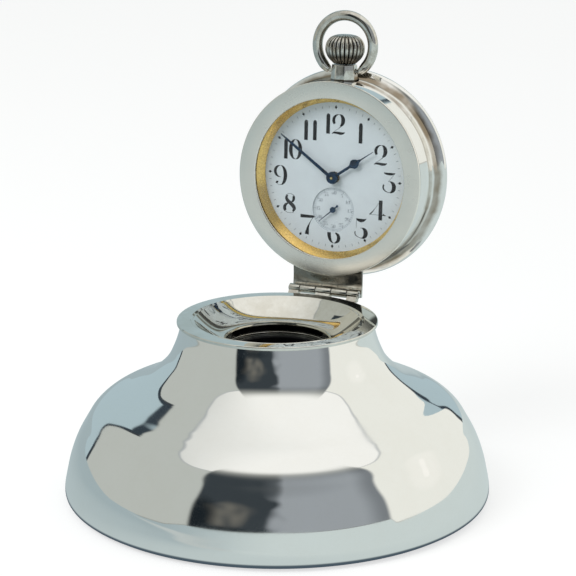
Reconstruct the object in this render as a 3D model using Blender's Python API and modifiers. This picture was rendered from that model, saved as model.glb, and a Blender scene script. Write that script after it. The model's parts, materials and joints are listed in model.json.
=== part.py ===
"""Desk inkstand: a weighted silver capstan inkwell whose hinged lid holds a large pocket watch.

The stand is turned about the world Z axis and rests on Z = 0. The hinge is at the back (+Y).
The lid is drawn shut, in a frame of its own whose Z runs from the bezel's face towards the lid's
back, and that frame is then swung open about the hinge pin. Seen from in front of the dial,
twelve o'clock lies towards the lid frame's -Y and the hands turn right-handed about its +Z.
"""

import math

import bmesh
import bpy
from mathutils import Matrix, Vector

MM = 0.001
OBJECT_NAME = "desk_inkstand"

# Clearances and facets
GAP = 0.3 * MM
OVERRUN = 2.0 * MM
MERGE_DISTANCE = 0.00001
BODY_STEPS = 44
LID_STEPS = 40
INNER_STEPS = 28
SMALL_STEPS = 14
TINY_STEPS = 10

# Stand body
BASE_RADIUS = 76.0 * MM
RIM_HEIGHT = 64.0 * MM
BODY_WALL = 1.0 * MM
BODY_FOOT_HEIGHT = 0.5 * MM
BODY_OUTLINE_SAMPLES = 20
BODY_INNER_SAMPLES = 10
# Share of the way from the neck's radius to BASE_RADIUS, share of the body's height, from the foot up
BODY_PROFILE_SHARES = (
    (0.9493, 0.000), (0.9928, 0.022), (1.0000, 0.060), (0.9819, 0.130), (0.9493, 0.230), (0.9022, 0.330),
    (0.8333, 0.420), (0.7428, 0.495), (0.6051, 0.550), (0.4565, 0.602), (0.3116, 0.660), (0.1957, 0.725),
    (0.1159, 0.790), (0.0634, 0.860), (0.0254, 0.930), (0.0000, 1.000),
)

# Bottom board and baize
BAIZE_THICKNESS = 1.2 * MM
BOARD_THICKNESS = 3.0 * MM
BAIZE_INSET = 2.2 * MM
FILLING_CLEARANCE = 0.7 * MM
FILLING_TOP_DROP = 9.0 * MM

# Well tray: flat rim, dish and opening
RIM_INSET = 0.1 * MM
NECK_INSET = 1.45 * MM
RIM_THICKNESS = 1.2 * MM
RIM_FLAT_WIDTH = 4.8 * MM
RIM_EDGE_CHAMFER = 0.3 * MM
DISH_DEPTH = 7.7 * MM
DISH_SAMPLES = 7
DISH_FALL_SHARE = 1.7
WELL_RADIUS = 18.6 * MM
WELL_LIP_LENGTH = 2.2 * MM
TRAY_WALL = 0.9 * MM

# Well cup and glass liner
CUP_WALL = 0.7 * MM
CUP_FLOOR_ROOM = 6.3 * MM
LINER_WALL = 2.2 * MM
LINER_TOP_DROP = 1.0 * MM
LINER_BASE = 3.6 * MM
LINER_LIP_CHAMFER = 0.6 * MM

# Hinge
HINGE_REACH = 6.3 * MM
HINGE_DROP = 0.3 * MM
LID_OPEN_ANGLE = math.radians(93.0)
KNUCKLE_RADIUS = 1.6 * MM
HINGE_PIN_RADIUS = 0.7 * MM
HINGE_PIN_HEAD = 0.35 * MM
OUTER_KNUCKLE_LENGTH = 4.5 * MM
INNER_KNUCKLE_LENGTH = 6.3 * MM
LEAF_THICKNESS = 1.3 * MM
STAND_LEAF_DROP = 0.5 * MM
LID_LEAF_RISE = 0.9 * MM
LEAF_SWING_ROOM = 0.5 * MM
LUG_WIDTH = 2.5 * MM
LUG_OVERLAP = 0.4 * MM
LUG_INSET = 0.2 * MM

# Lid drum, its bezel and its back
LID_REST_GAP = 0.3 * MM
BEZEL_OVERHANG = 0.4 * MM
BEZEL_COVER = 4.7 * MM
BEZEL_THICKNESS = 1.0 * MM
BEZEL_EDGE = 0.3 * MM
BEZEL_SKIRT_WALL = 0.7 * MM
BEZEL_SKIRT_DEPTH = 3.0 * MM
DRUM_WALL = 0.9 * MM
DRUM_STRAIGHT_DEPTH = 10.8 * MM
FLANGE_REACH = 3.6 * MM
FLANGE_DEPTH = 19.8 * MM
FLANGE_BEAD = 1.7 * MM
COVE_SAMPLES = 6
COVE_HANDLE_SHARE = 0.45
BEAD_SAMPLES = 6
BEAD_START = math.radians(-60.0)
BEAD_SWEEP = math.radians(150.0)
LID_BACK_INSET = 2.1 * MM
LID_BACK_WALL = 0.9 * MM
LID_BACK_RISE = 3.2 * MM
LID_BACK_SAMPLES = 5
PAD_THICKNESS = 2.0 * MM

# Watch case, measured from the lid bezel's face
WATCH_RADIUS = 34.4 * MM
WATCH_BEZEL_WIDTH = 1.9 * MM
CRYSTAL_THICKNESS = 1.0 * MM
CRYSTAL_RISE = 0.5 * MM
CRYSTAL_SAMPLES = 4
CASE_WALL = 1.1 * MM
CASE_MIDDLE_FRONT = 4.4 * MM
CASE_MIDDLE_BACK = 15.4 * MM
CASE_BACK_THICKNESS = 0.8 * MM
CASE_BACK_RIM = 1.3 * MM
CASE_BACK_RISE = 1.4 * MM
CASE_BACK_SAMPLES = 4
GILT_RING_WALL = 0.6 * MM
GILT_RING_OVERLAP = 1.6 * MM

# The hands and the movement are laid out in parts of the main plate's radius, so they suit its watch
PLATE_RADIUS = WATCH_RADIUS - CASE_WALL - GAP
PARTS_IN_PLATE_RADIUS = 33.0
PLATE_PART = PLATE_RADIUS / PARTS_IN_PLATE_RADIUS

# Dial
DIAL_DEPTH = 5.9 * MM
DIAL_THICKNESS = 1.0 * MM
DIAL_MARGIN = 4.4 * MM
SUBDIAL_DROP = 12.2 * PLATE_PART
SUBDIAL_RADIUS = 8.6 * PLATE_PART
SUBDIAL_SINK = 0.4 * MM
SUBDIAL_THICKNESS = 0.6 * MM

# Hands, measured forwards from the dial's face
MINUTE_HAND_LENGTH = 25.6 * PLATE_PART
MINUTE_HAND_WIDTH = 1.25 * PLATE_PART
MINUTE_HAND_HEIGHT = 2.3 * MM
HOUR_HAND_LENGTH = 19.1 * PLATE_PART
HOUR_HAND_WIDTH = 1.0 * PLATE_PART
HOUR_HAND_HEIGHT = 1.4 * MM
HOUR_BULB_DISTANCE = 10.3 * PLATE_PART
HOUR_BULB_RADIUS = 1.75 * PLATE_PART
# Distance past the bulb's centre as a share of its radius, half width as a share of its radius
HOUR_BULB_SHARES = ((-0.85, 0.55), (-0.40, 0.93), (0.15, 1.00), (0.65, 0.72), (1.10, 0.38), (2.20, 0.20))
SECONDS_HAND_LENGTH = 7.2 * PLATE_PART
SECONDS_TAIL_LENGTH = 2.6 * PLATE_PART
SECONDS_HAND_WIDTH = 0.5 * PLATE_PART
SECONDS_HAND_HEIGHT = 0.4 * MM
HAND_THICKNESS = 0.4 * MM
HAND_TIP_SHARE = 0.22
MINUTE_HUB_RADIUS = 2.1 * PLATE_PART
HOUR_HUB_RADIUS = 2.3 * PLATE_PART
SECONDS_HUB_RADIUS = 0.8 * PLATE_PART
MINUTE_HAND_ANGLE = math.radians(305.5)
HOUR_HAND_ANGLE = math.radians(55.4)
SECONDS_HAND_ANGLE = math.radians(229.0)

# Pendant, bow, crown and stem, measured from the dial's centre towards twelve o'clock
STEM_DEPTH = 12.9 * MM
PENDANT_STEP = 0.5 * MM
PENDANT_LENGTH = 6.3 * MM
PENDANT_FOOT_RADIUS = 5.1 * MM
PENDANT_TOP_RADIUS = 4.7 * MM
PENDANT_SIDES = 8
PENDANT_HOLE_ROOM = 0.4 * MM
BOW_OUTER_RADIUS = 12.9 * MM
BOW_WIRE_RADIUS = 1.9 * MM
BOW_PIVOT_RISE = 3.9 * MM
BOW_RISE = 9.3 * MM
BOW_TIP_RADIUS = 0.8 * MM
BOW_TIP_LENGTH = 1.5 * MM
BOW_POINTS = 22
BOW_END_SHARE = 0.55
BOW_SHOULDER_SHARE = 0.85
CROWN_RADIUS = 7.6 * MM
CROWN_HEIGHT = 10.6 * MM
CROWN_RIBS = 26
CROWN_RIB_DEPTH = 0.55 * MM
# Radius as a share of CROWN_RADIUS, height as a share of CROWN_HEIGHT, from the pendant out
CROWN_PROFILE_SHARES = (
    (0.56, 0.00), (0.64, 0.05), (0.84, 0.19), (0.97, 0.37), (1.00, 0.53), (0.95, 0.71),
    (0.80, 0.87), (0.58, 0.96), (0.34, 1.00),
)
CROWN_PULL = 1.2 * MM
STEM_RADIUS = 1.0 * MM
STEM_END = 22.6 * PLATE_PART

# Movement plates and bridges
PLATE_FRONT = 7.2 * MM
PLATE_BACK = 10.0 * MM
MOTION_RECESS_RADIUS = 9.8 * PLATE_PART
MOTION_RECESS_DEPTH = 1.3 * MM
BARREL_RECESS_DEPTH = 0.8 * MM
BRIDGE_FRONT = 13.0 * MM
BRIDGE_THICKNESS = 1.3 * MM
BRIDGE_FOOT_RADIUS = 1.7 * PLATE_PART
BRIDGE_MARGIN = 2.6 * PLATE_PART
PALLET_MARGIN = 1.8 * PLATE_PART
ARBOR_RADIUS = 0.45 * PLATE_PART
ARBOR_HOLE_ROOM = 0.3 * MM
PIVOT_REACH = 0.9 * MM
TRAIN_FOOT_RIGHT = (19.5 * PLATE_PART, 12.5 * PLATE_PART)
TRAIN_FOOT_LOW = (-3.0 * PLATE_PART, 24.0 * PLATE_PART)
BARREL_FOOT_LEFT = (-20.0 * PLATE_PART, -14.5 * PLATE_PART)
BARREL_FOOT_RIGHT = (10.5 * PLATE_PART, -16.0 * PLATE_PART)
BARREL_COVER_RADIUS = 7.0 * PLATE_PART
CROWN_WHEEL_COVER_RADIUS = 3.0 * PLATE_PART
COCK_FOOT = (-27.5 * PLATE_PART, 12.5 * PLATE_PART)
COCK_FRONT = 13.6 * MM
COCK_FOOT_RADIUS = 1.5 * PLATE_PART
COCK_HEAD_RADIUS = 2.8 * PLATE_PART

# Going train: tooth counts, centre distances and wheels
CENTRE_TEETH = 64
THIRD_PINION_LEAVES = 8
THIRD_TEETH = 60
FOURTH_PINION_LEAVES = 8
FOURTH_TEETH = 60
ESCAPE_PINION_LEAVES = 6
ESCAPE_TEETH = 15
BARREL_TEETH = 72
CENTRE_PINION_LEAVES = 9
CENTRE_TO_THIRD = 11.2 * PLATE_PART
THIRD_TO_FOURTH = 10.5 * PLATE_PART
FOURTH_TO_ESCAPE = 9.0 * PLATE_PART
ESCAPE_DIRECTION = math.radians(155.0)
ESCAPE_RADIUS = 4.3 * PLATE_PART
ESCAPE_TOOTH_DEPTH = 0.9 * PLATE_PART
ESCAPE_TO_PALLET = 6.2 * PLATE_PART
PALLET_TO_BALANCE = 8.0 * PLATE_PART
PALLET_DIRECTION = math.radians(218.0)
CENTRE_TO_BARREL = 13.0 * PLATE_PART
BARREL_DIRECTION = math.radians(242.5)
WHEEL_THICKNESS = 0.4 * MM
WHEEL_RIM_WIDTH = 1.1 * PLATE_PART
WHEEL_HUB_RADIUS = 1.9 * PLATE_PART
WHEEL_ARM_WIDTH = 1.0 * PLATE_PART
WHEEL_ARMS = 5
PINION_LENGTH = 0.6 * MM
MESH_ROOM_SHARE = 0.22
CENTRE_PINION_LEVEL = 9.5 * MM
CENTRE_WHEEL_LEVEL = 11.5 * MM
THIRD_WHEEL_LEVEL = 10.4 * MM
THIRD_PINION_LEVEL = 11.4 * MM
FOURTH_WHEEL_LEVEL = 12.2 * MM
FOURTH_PINION_LEVEL = 10.3 * MM
ESCAPE_WHEEL_LEVEL = 11.0 * MM
ESCAPE_PINION_LEVEL = 12.1 * MM
CENTRE_ARBOR_FRONT = 3.0 * MM

# Barrel, mainspring and barrel arbor
BARREL_FRONT = 9.5 * MM
BARREL_BACK = 11.2 * MM
BARREL_FLANGE_THICKNESS = 0.5 * MM
BARREL_DRUM_RADIUS = 10.7 * PLATE_PART
BARREL_WALL = 0.5 * PLATE_PART
BARREL_FLOOR = 0.35 * MM
BARREL_COVER_THICKNESS = 0.4 * MM
BARREL_ARBOR_RADIUS = 0.9 * PLATE_PART
BARREL_ARBOR_FRONT = 9.3 * MM
MAINSPRING_HEIGHT = 0.4 * MM
MAINSPRING_THICKNESS = 0.45 * PLATE_PART
MAINSPRING_TURNS = 4
MAINSPRING_INNER_RADIUS = 2.0 * PLATE_PART
MAINSPRING_OUTER_RADIUS = 9.4 * PLATE_PART
SPIRAL_POINTS_PER_TURN = 12

# Balance, hairspring and lever
BALANCE_RADIUS = 7.2 * PLATE_PART
BALANCE_RIM_WIDTH = 1.1 * PLATE_PART
BALANCE_THICKNESS = 0.8 * MM
BALANCE_LEVEL = 11.8 * MM
BALANCE_ARM_WIDTH = 1.3 * PLATE_PART
BALANCE_ARMS = 3
ROLLER_RADIUS = 1.9 * PLATE_PART
ROLLER_PIN_DISTANCE = 2.3 * PLATE_PART
ROLLER_PIN_RADIUS = 0.25 * PLATE_PART
HAIRSPRING_LEVEL = 13.1 * MM
HAIRSPRING_RADIUS = 3.6 * PLATE_PART
HAIRSPRING_INNER_RADIUS = 1.0 * PLATE_PART
HAIRSPRING_WIRE_RADIUS = 0.12 * PLATE_PART
HAIRSPRING_TURNS = 4
LEVER_LENGTH = 4.6 * PLATE_PART
LEVER_WIDTH = 0.7 * PLATE_PART
LEVER_HUB_RADIUS = 1.0 * PLATE_PART
FORK_DEPTH = 0.6 * PLATE_PART
FORK_WIDTH = 0.7 * PLATE_PART
PALLET_STONE_CLEARANCE = 0.45 * PLATE_PART
PALLET_SPREAD = math.radians(34.0)

# Motion work under the dial
CANNON_LEAVES = 10
MINUTE_WHEEL_TEETH = 30
MINUTE_PINION_LEAVES = 8
HOUR_WHEEL_TEETH = 32
MOTION_DISTANCE = 5.2 * PLATE_PART
MOTION_DIRECTION = math.radians(40.0)
MOTION_WHEEL_THICKNESS = 0.35 * MM
MINUTE_WHEEL_LEVEL = 7.85 * MM
CANNON_TUBE_RADIUS = 1.15 * PLATE_PART
HOUR_TUBE_RADIUS = 1.85 * PLATE_PART

# Winding work on the barrel bridge
RATCHET_TEETH = 30
CROWN_WHEEL_TEETH = 24
WINDING_WHEEL_THICKNESS = 0.6 * MM
CROWN_WHEEL_DROP = 19.0 * PLATE_PART
WINDING_PINION_TEETH = 12
WINDING_PINION_RADIUS = 1.7 * MM
WINDING_PINION_LENGTH = 1.8 * PLATE_PART
CLICK_DIRECTION = math.radians(170.0)
CLICK_LENGTH = 3.4 * PLATE_PART
CLICK_RADIUS = 1.3 * PLATE_PART
CLICK_NOSE_WIDTH = 0.6 * PLATE_PART
CLICK_LEAN = math.radians(116.0)
SCREW_HEAD_RADIUS = 1.1 * PLATE_PART
SCREW_HEAD_HEIGHT = 0.5 * MM
SCREW_SHANK_RADIUS = 0.5 * PLATE_PART
SCREW_SHANK_LENGTH = 1.2 * MM
SCREW_SLOT_WIDTH = 0.3 * PLATE_PART
SCREW_SLOT_DEPTH = 0.2 * MM
CORE_SCREW_HEAD_RADIUS = 2.0 * PLATE_PART
CORE_SCREW_SHANK_RADIUS = 1.0 * PLATE_PART
CORE_SCREW_SHANK_LENGTH = 2.0 * MM

# Colours and surface values
FINISHES = {
    "silver": ((0.80, 0.80, 0.78), 0.12, 1.0),
    "silver_worn": ((0.72, 0.70, 0.66), 0.22, 1.0),
    "steel": ((0.56, 0.57, 0.58), 0.25, 1.0),
    "blued_steel": ((0.02, 0.05, 0.20), 0.22, 1.0),
    "gilt": ((0.80, 0.58, 0.20), 0.28, 1.0),
    "brass": ((0.72, 0.55, 0.26), 0.30, 1.0),
    "enamel": ((0.86, 0.88, 0.90), 0.12, 0.0),
    "glass": ((0.80, 0.84, 0.84), 0.05, 0.0),
    "pitch": ((0.08, 0.07, 0.06), 0.80, 0.0),
    "wood": ((0.25, 0.13, 0.06), 0.55, 0.0),
    "baize": ((0.03, 0.14, 0.08), 0.95, 0.0),
    "velvet": ((0.16, 0.05, 0.20), 0.95, 0.0),
}


# Scene, frames and finishes

def clear_scene():
    """Remove every object, so that a second run starts clean."""
    for item in list(bpy.data.objects):
        bpy.data.objects.remove(item, do_unlink=True)


def new_collection(name):
    """A collection of that name, linked to the scene."""
    made = bpy.data.collections.new(name)
    bpy.context.scene.collection.children.link(made)
    return made


def finish_material(name):
    """A Principled material with the colour, roughness and metallic value of a finish."""
    made = bpy.data.materials.get(name)
    if made is None:
        colour, roughness, metallic = FINISHES[name]
        made = bpy.data.materials.new(name)
        made.use_nodes = True
        made.diffuse_color = (*colour, 1.0)
        shader = made.node_tree.nodes["Principled BSDF"]
        shader.inputs["Base Color"].default_value = (*colour, 1.0)
        shader.inputs["Roughness"].default_value = roughness
        shader.inputs["Metallic"].default_value = metallic
    return made


def frame(name, location, parent=None, turn_x=0.0):
    """An empty that carries pieces: its place and its turn about X."""
    made = bpy.data.objects.new(name, None)
    PARTS.objects.link(made)
    made.parent = parent
    made.location = location
    made.rotation_euler.x = turn_x
    return made


def add_object(name, mesh, finish, parent, location):
    """Link a mesh as a named object of the model."""
    made = bpy.data.objects.new(name, mesh)
    PARTS.objects.link(made)
    made.parent = parent
    made.location = location
    made.data.materials.clear()
    made.data.materials.append(finish_material(finish))
    made.data.polygons.foreach_set("use_smooth", [True] * len(made.data.polygons))
    return made


def as_cutter(item):
    """Move an object to the cutters' collection and show it as wire."""
    for group in list(item.users_collection):
        group.objects.unlink(item)
    CUTTERS.objects.link(item)
    item.hide_render = True
    item.display_type = "WIRE"
    return item


def boolean(target, other, operation):
    """Combine target with other, which becomes a cutter."""
    step = target.modifiers.new(operation.lower() + "_" + other.name, "BOOLEAN")
    step.operation = operation
    step.solver = "EXACT"
    step.object = as_cutter(other)
    return target


def cut(target, *others):
    """Take the others out of target."""
    for other in others:
        boolean(target, other, "DIFFERENCE")
    return target


def fuse(target, *others):
    """Make target one body with the others."""
    for other in others:
        boolean(target, other, "UNION")
    return target


# Shapes

def signed_area(outline):
    """Twice the area inside a closed outline, positive when it runs anticlockwise."""
    return sum(a[0] * b[1] - b[0] * a[1] for a, b in zip(outline, outline[1:] + outline[:1]))


def turned(name, outline, finish, parent=None, location=(0, 0, 0), steps=INNER_STEPS):
    """A solid of revolution about its own Z from (radius, height) points, by a Screw modifier.

    An outline that starts and ends on the axis is left open there, and any other is closed.
    """
    points = list(outline)
    if signed_area(points) > 0:
        points.reverse()
    on_axis = [i for i, point in enumerate(points) if point[0] < MERGE_DISTANCE]
    if on_axis:
        start = max(on_axis) if len(on_axis) == 2 and on_axis[1] - on_axis[0] == 1 else 0
        points = points[start:] + points[:start]
    mesh = bpy.data.meshes.new(name)
    edges = [(i, i + 1) for i in range(len(points) - 1)]
    if not on_axis:
        edges.append((len(points) - 1, 0))
    mesh.from_pydata([(radius, 0, height) for radius, height in points], edges, [])
    made = add_object(name, mesh, finish, parent, location)
    screw = made.modifiers.new("turn", "SCREW")
    screw.axis = "Z"
    screw.angle = 2 * math.pi
    screw.steps = steps
    screw.render_steps = steps
    screw.use_merge_vertices = True
    screw.merge_threshold = MERGE_DISTANCE
    screw.use_smooth_shade = True
    return made


def plate(name, outlines, low, high, finish, parent=None, location=(0, 0, 0)):
    """A flat piece between heights low and high; the first outline is its edge, the rest are holes."""
    curve = bpy.data.curves.new(name, "CURVE")
    curve.dimensions = "2D"
    curve.fill_mode = "BOTH"
    curve.extrude = (high - low) / 2
    for outline in outlines:
        spline = curve.splines.new("POLY")
        spline.points.add(len(outline) - 1)
        for point, (x, y) in zip(spline.points, outline):
            point.co = (x, y, 0, 1)
        spline.use_cyclic_u = True
    return from_curve(name, curve, finish, parent, location, Matrix.Translation((0, 0, (low + high) / 2)))


def wire(name, points, radii, finish, parent=None, location=(0, 0, 0), resolution=2):
    """A round wire along points, with a radius at each point."""
    curve = bpy.data.curves.new(name, "CURVE")
    curve.dimensions = "3D"
    curve.bevel_depth = 1.0
    curve.bevel_resolution = resolution
    curve.use_fill_caps = True
    spline = curve.splines.new("POLY")
    spline.points.add(len(points) - 1)
    for point, place, radius in zip(spline.points, points, radii):
        point.co = (*place, 1)
        point.radius = radius
    return from_curve(name, curve, finish, parent, location, Matrix.Identity(4))


def from_curve(name, curve, finish, parent, location, offset):
    """Make a curve a closed mesh object, its caps welded, and remove the curve."""
    shape = bpy.data.objects.new(name + "_curve", curve)
    bpy.context.scene.collection.objects.link(shape)
    bpy.context.view_layer.update()
    mesh = bpy.data.meshes.new_from_object(shape.evaluated_get(bpy.context.evaluated_depsgraph_get()))
    bpy.data.objects.remove(shape, do_unlink=True)
    work = bmesh.new()
    work.from_mesh(mesh)
    bmesh.ops.remove_doubles(work, verts=work.verts, dist=MERGE_DISTANCE)
    bmesh.ops.transform(work, matrix=offset, verts=work.verts)
    bmesh.ops.recalc_face_normals(work, faces=work.faces)
    work.to_mesh(mesh)
    work.free()
    mesh.name = name
    return add_object(name, mesh, finish, parent, location)


def rod(name, radius, start, end, finish, parent=None, location=(0, 0, 0), steps=SMALL_STEPS,
        end_radius=None):
    """A round or many-sided bar from start to end, tapering to end_radius if that is given."""
    start, end = Vector(start), Vector(end)
    span = end - start
    work = bmesh.new()
    bmesh.ops.create_cone(
        work, cap_ends=True, segments=steps, radius1=radius,
        radius2=radius if end_radius is None else end_radius,
        depth=span.length,
    )
    turn = span.to_track_quat("Z", "Y").to_matrix().to_4x4()
    bmesh.ops.transform(work, matrix=Matrix.Translation((start + end) / 2) @ turn, verts=work.verts)
    mesh = bpy.data.meshes.new(name)
    work.to_mesh(mesh)
    work.free()
    return add_object(name, mesh, finish, parent, location)


def block(name, low, high, finish, parent=None, location=(0, 0, 0)):
    """A box from its low corner to its high corner."""
    low, high = Vector(low), Vector(high)
    work = bmesh.new()
    bmesh.ops.create_cube(work, size=1.0)
    size = high - low
    bmesh.ops.transform(work, matrix=Matrix.Translation((low + high) / 2) @ Matrix.Diagonal((*size, 1)),
                        verts=work.verts)
    mesh = bpy.data.meshes.new(name)
    work.to_mesh(mesh)
    work.free()
    return add_object(name, mesh, finish, parent, location)


def smooth_curve(points, samples):
    """Points spread evenly along a Catmull-Rom curve through the given ones."""
    ends = [2 * Vector(points[0]) - Vector(points[1]), *map(Vector, points),
            2 * Vector(points[-1]) - Vector(points[-2])]
    spans = len(points) - 1
    made = []
    for i in range(samples):
        place = i * spans / (samples - 1)
        k = min(int(place), spans - 1)
        t = place - k
        a, b, c, d = ends[k:k + 4]
        made.append(tuple(0.5 * (2 * b + (c - a) * t + (2 * a - 5 * b + 4 * c - d) * t ** 2
                                 + (3 * b - a - 3 * c + d) * t ** 3)))
    return made


def offset_inwards(points, distance):
    """The points of a profile that runs upwards, moved towards the axis, square to the profile."""
    made = []
    for i, point in enumerate(points):
        before, after = Vector(points[max(i - 1, 0)]), Vector(points[min(i + 1, len(points) - 1)])
        course = (after - before).normalized()
        made.append((point[0] - course[1] * distance, point[1] + course[0] * distance))
    return made


def between_heights(points, low, high):
    """The stretch of a profile that runs upwards between two heights, cut at both of them."""
    made = []
    for (r0, h0), (r1, h1) in zip(points, points[1:]):
        start, end = max(h0, low), min(h1, high)
        if start < end:
            ends = [(r0 + (r1 - r0) * (h - h0) / (h1 - h0), h) for h in (start, end)]
            made += ends if not made else ends[1:]
    return made


def ring_points(radius, count, centre=(0, 0), start=0.0):
    """Points evenly spread round a circle."""
    return [
        (centre[0] + radius * math.cos(start + 2 * math.pi * i / count),
         centre[1] + radius * math.sin(start + 2 * math.pi * i / count))
        for i in range(count)
    ]


def gear_outline(teeth, root_radius, tip_radius, phase=0.0):
    """A toothed edge: each tooth is a peak between two gaps, pointing at phase."""
    made = []
    for i in range(teeth):
        at = phase + 2 * math.pi * i / teeth
        half = math.pi / teeth
        made.append((tip_radius * math.cos(at), tip_radius * math.sin(at)))
        made.append((root_radius * math.cos(at + half), root_radius * math.sin(at + half)))
    return made


def arm_windows(count, inner, outer, arm_width, phase=0.0, samples=3):
    """The openings between a wheel's arms: sectors whose sides run parallel to the arms."""
    made = []
    for i in range(count):
        middle = phase + 2 * math.pi * (i + 0.5) / count
        window = []
        for radius, order in ((outer, 1), (inner, -1)):
            half = math.pi / count - math.asin(min(arm_width / 2 / radius, 0.9))
            for k in range(samples):
                at = middle + order * half * (2 * k / (samples - 1) - 1)
                window.append((radius * math.cos(at), radius * math.sin(at)))
        made.append(window)
    return made


def belt_outline(circles, samples=12):
    """The edge of a plate stretched round circles given as (centre, radius), as a belt would lie."""
    points = sorted(p for centre, radius in circles for p in ring_points(radius, samples, centre))

    def half(ordered):
        chain = []
        for p in ordered:
            while len(chain) > 1 and signed_area([chain[-2], chain[-1], p]) <= 0:
                chain.pop()
            chain.append(p)
        return chain[:-1]

    return half(points) + half(points[::-1])


def bar_along_x(name, outline, low, high, finish, parent=None, location=(0, 0, 0)):
    """A bar whose section is an outline of (y, z) points, from low to high along X."""
    made = plate(name, [outline], low, high, finish, parent, location)
    made.data.transform(Matrix(((0, 0, 1, 0), (1, 0, 0, 0), (0, 1, 0, 0), (0, 0, 0, 1))))
    return made


def pitch_radius(distance, own_teeth, other_teeth):
    """The pitch radius of a gear that meshes with another at a centre distance."""
    return distance * own_teeth / (own_teeth + other_teeth)


def tooth_radii(distance, own_teeth, other_teeth):
    """Root and tip radius of a gear, with room left for its mate to roll."""
    module = 2 * distance / (own_teeth + other_teeth)
    pitch = pitch_radius(distance, own_teeth, other_teeth)
    return pitch - (1 + MESH_ROOM_SHARE) * module, pitch + (1 - 2 * MESH_ROOM_SHARE) * module


# Places on the movement, from the dial's centre: x to the right, y towards six o'clock

def along(direction, distance):
    """The step of a distance in a direction."""
    return Vector((math.cos(direction) * distance, math.sin(direction) * distance, 0))


def third_place():
    """Where circles round the centre and the fourth arbor cross, on the right."""
    y = (CENTRE_TO_THIRD ** 2 - THIRD_TO_FOURTH ** 2 + SUBDIAL_DROP ** 2) / (2 * SUBDIAL_DROP)
    return Vector((math.sqrt(CENTRE_TO_THIRD ** 2 - y ** 2), y, 0))


CENTRE = Vector((0, 0, 0))
THIRD = third_place()
FOURTH = Vector((0, SUBDIAL_DROP, 0))
ESCAPE = FOURTH + along(ESCAPE_DIRECTION, FOURTH_TO_ESCAPE)
PALLET = ESCAPE + along(PALLET_DIRECTION, ESCAPE_TO_PALLET)
BALANCE = PALLET + along(PALLET_DIRECTION, PALLET_TO_BALANCE)
BARREL = along(BARREL_DIRECTION, CENTRE_TO_BARREL)
MINUTE_ARBOR = along(MOTION_DIRECTION, MOTION_DISTANCE)
CROWN_WHEEL = Vector((0, -CROWN_WHEEL_DROP, 0))

# Heights worked out from the sizes above
BAIZE_TOP = BAIZE_THICKNESS
BOARD_FOOT = BAIZE_TOP + GAP
BOARD_TOP = BOARD_FOOT + BOARD_THICKNESS
RIM_UNDERSIDE = RIM_HEIGHT - RIM_THICKNESS
BODY_TOP = RIM_UNDERSIDE - GAP
DISH_LOW = RIM_HEIGHT - DISH_DEPTH
LIP_LOW = DISH_LOW - WELL_LIP_LENGTH
CUP_TOP = LIP_LOW - GAP
CUP_LOW = BOARD_TOP + CUP_FLOOR_ROOM
LINER_LOW = CUP_LOW + CUP_WALL + GAP
LINER_TOP = CUP_TOP - LINER_TOP_DROP
LID_FACE = RIM_HEIGHT + LID_REST_GAP
HINGE_HEIGHT = RIM_HEIGHT - HINGE_DROP
HINGE_WIDTH = 2 * OUTER_KNUCKLE_LENGTH + 3 * INNER_KNUCKLE_LENGTH
PIN_IN_LID = HINGE_HEIGHT - LID_FACE
DRUM_FRONT = BEZEL_THICKNESS + GAP
DIAL_BACK = DIAL_DEPTH + DIAL_THICKNESS
BRIDGE_BACK = BRIDGE_FRONT + BRIDGE_THICKNESS
WINDING_LEVEL = BRIDGE_BACK + GAP
ARBOR_HOLE = ARBOR_RADIUS + ARBOR_HOLE_ROOM

# Radii worked out from the watch, which the drum, the rim and the neck are made to fit
DRUM_INNER_RADIUS = WATCH_RADIUS + GAP
DRUM_RADIUS = DRUM_INNER_RADIUS + DRUM_WALL
BEZEL_RADIUS = DRUM_RADIUS + BEZEL_OVERHANG
BEZEL_INNER_RADIUS = WATCH_RADIUS - BEZEL_COVER
DIAL_RADIUS = WATCH_RADIUS - DIAL_MARGIN
GILT_RING_INNER_RADIUS = DIAL_RADIUS - GILT_RING_OVERLAP
FLANGE_RADIUS = DRUM_RADIUS + FLANGE_REACH
LID_BACK_RADIUS = FLANGE_RADIUS - LID_BACK_INSET
RIM_RADIUS = DRUM_RADIUS - RIM_INSET
NECK_RADIUS = RIM_RADIUS - NECK_INSET
HINGE_BACK = DRUM_RADIUS + HINGE_REACH
PENDANT_FOOT = WATCH_RADIUS + PENDANT_STEP
PENDANT_TOP = PENDANT_FOOT + PENDANT_LENGTH
BOW_PIVOT = PENDANT_FOOT + BOW_PIVOT_RISE
BOW_CENTRE = BOW_PIVOT + BOW_RISE
CROWN_FOOT = PENDANT_TOP + GAP


def body_outline(samples):
    """The stand's outer profile from the foot up, as (radius, height) points."""
    height = BODY_TOP - BODY_FOOT_HEIGHT
    spread = BASE_RADIUS - NECK_RADIUS
    points = [(NECK_RADIUS + r * spread, BODY_FOOT_HEIGHT + h * height) for r, h in BODY_PROFILE_SHARES]
    return smooth_curve(points, samples)


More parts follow.
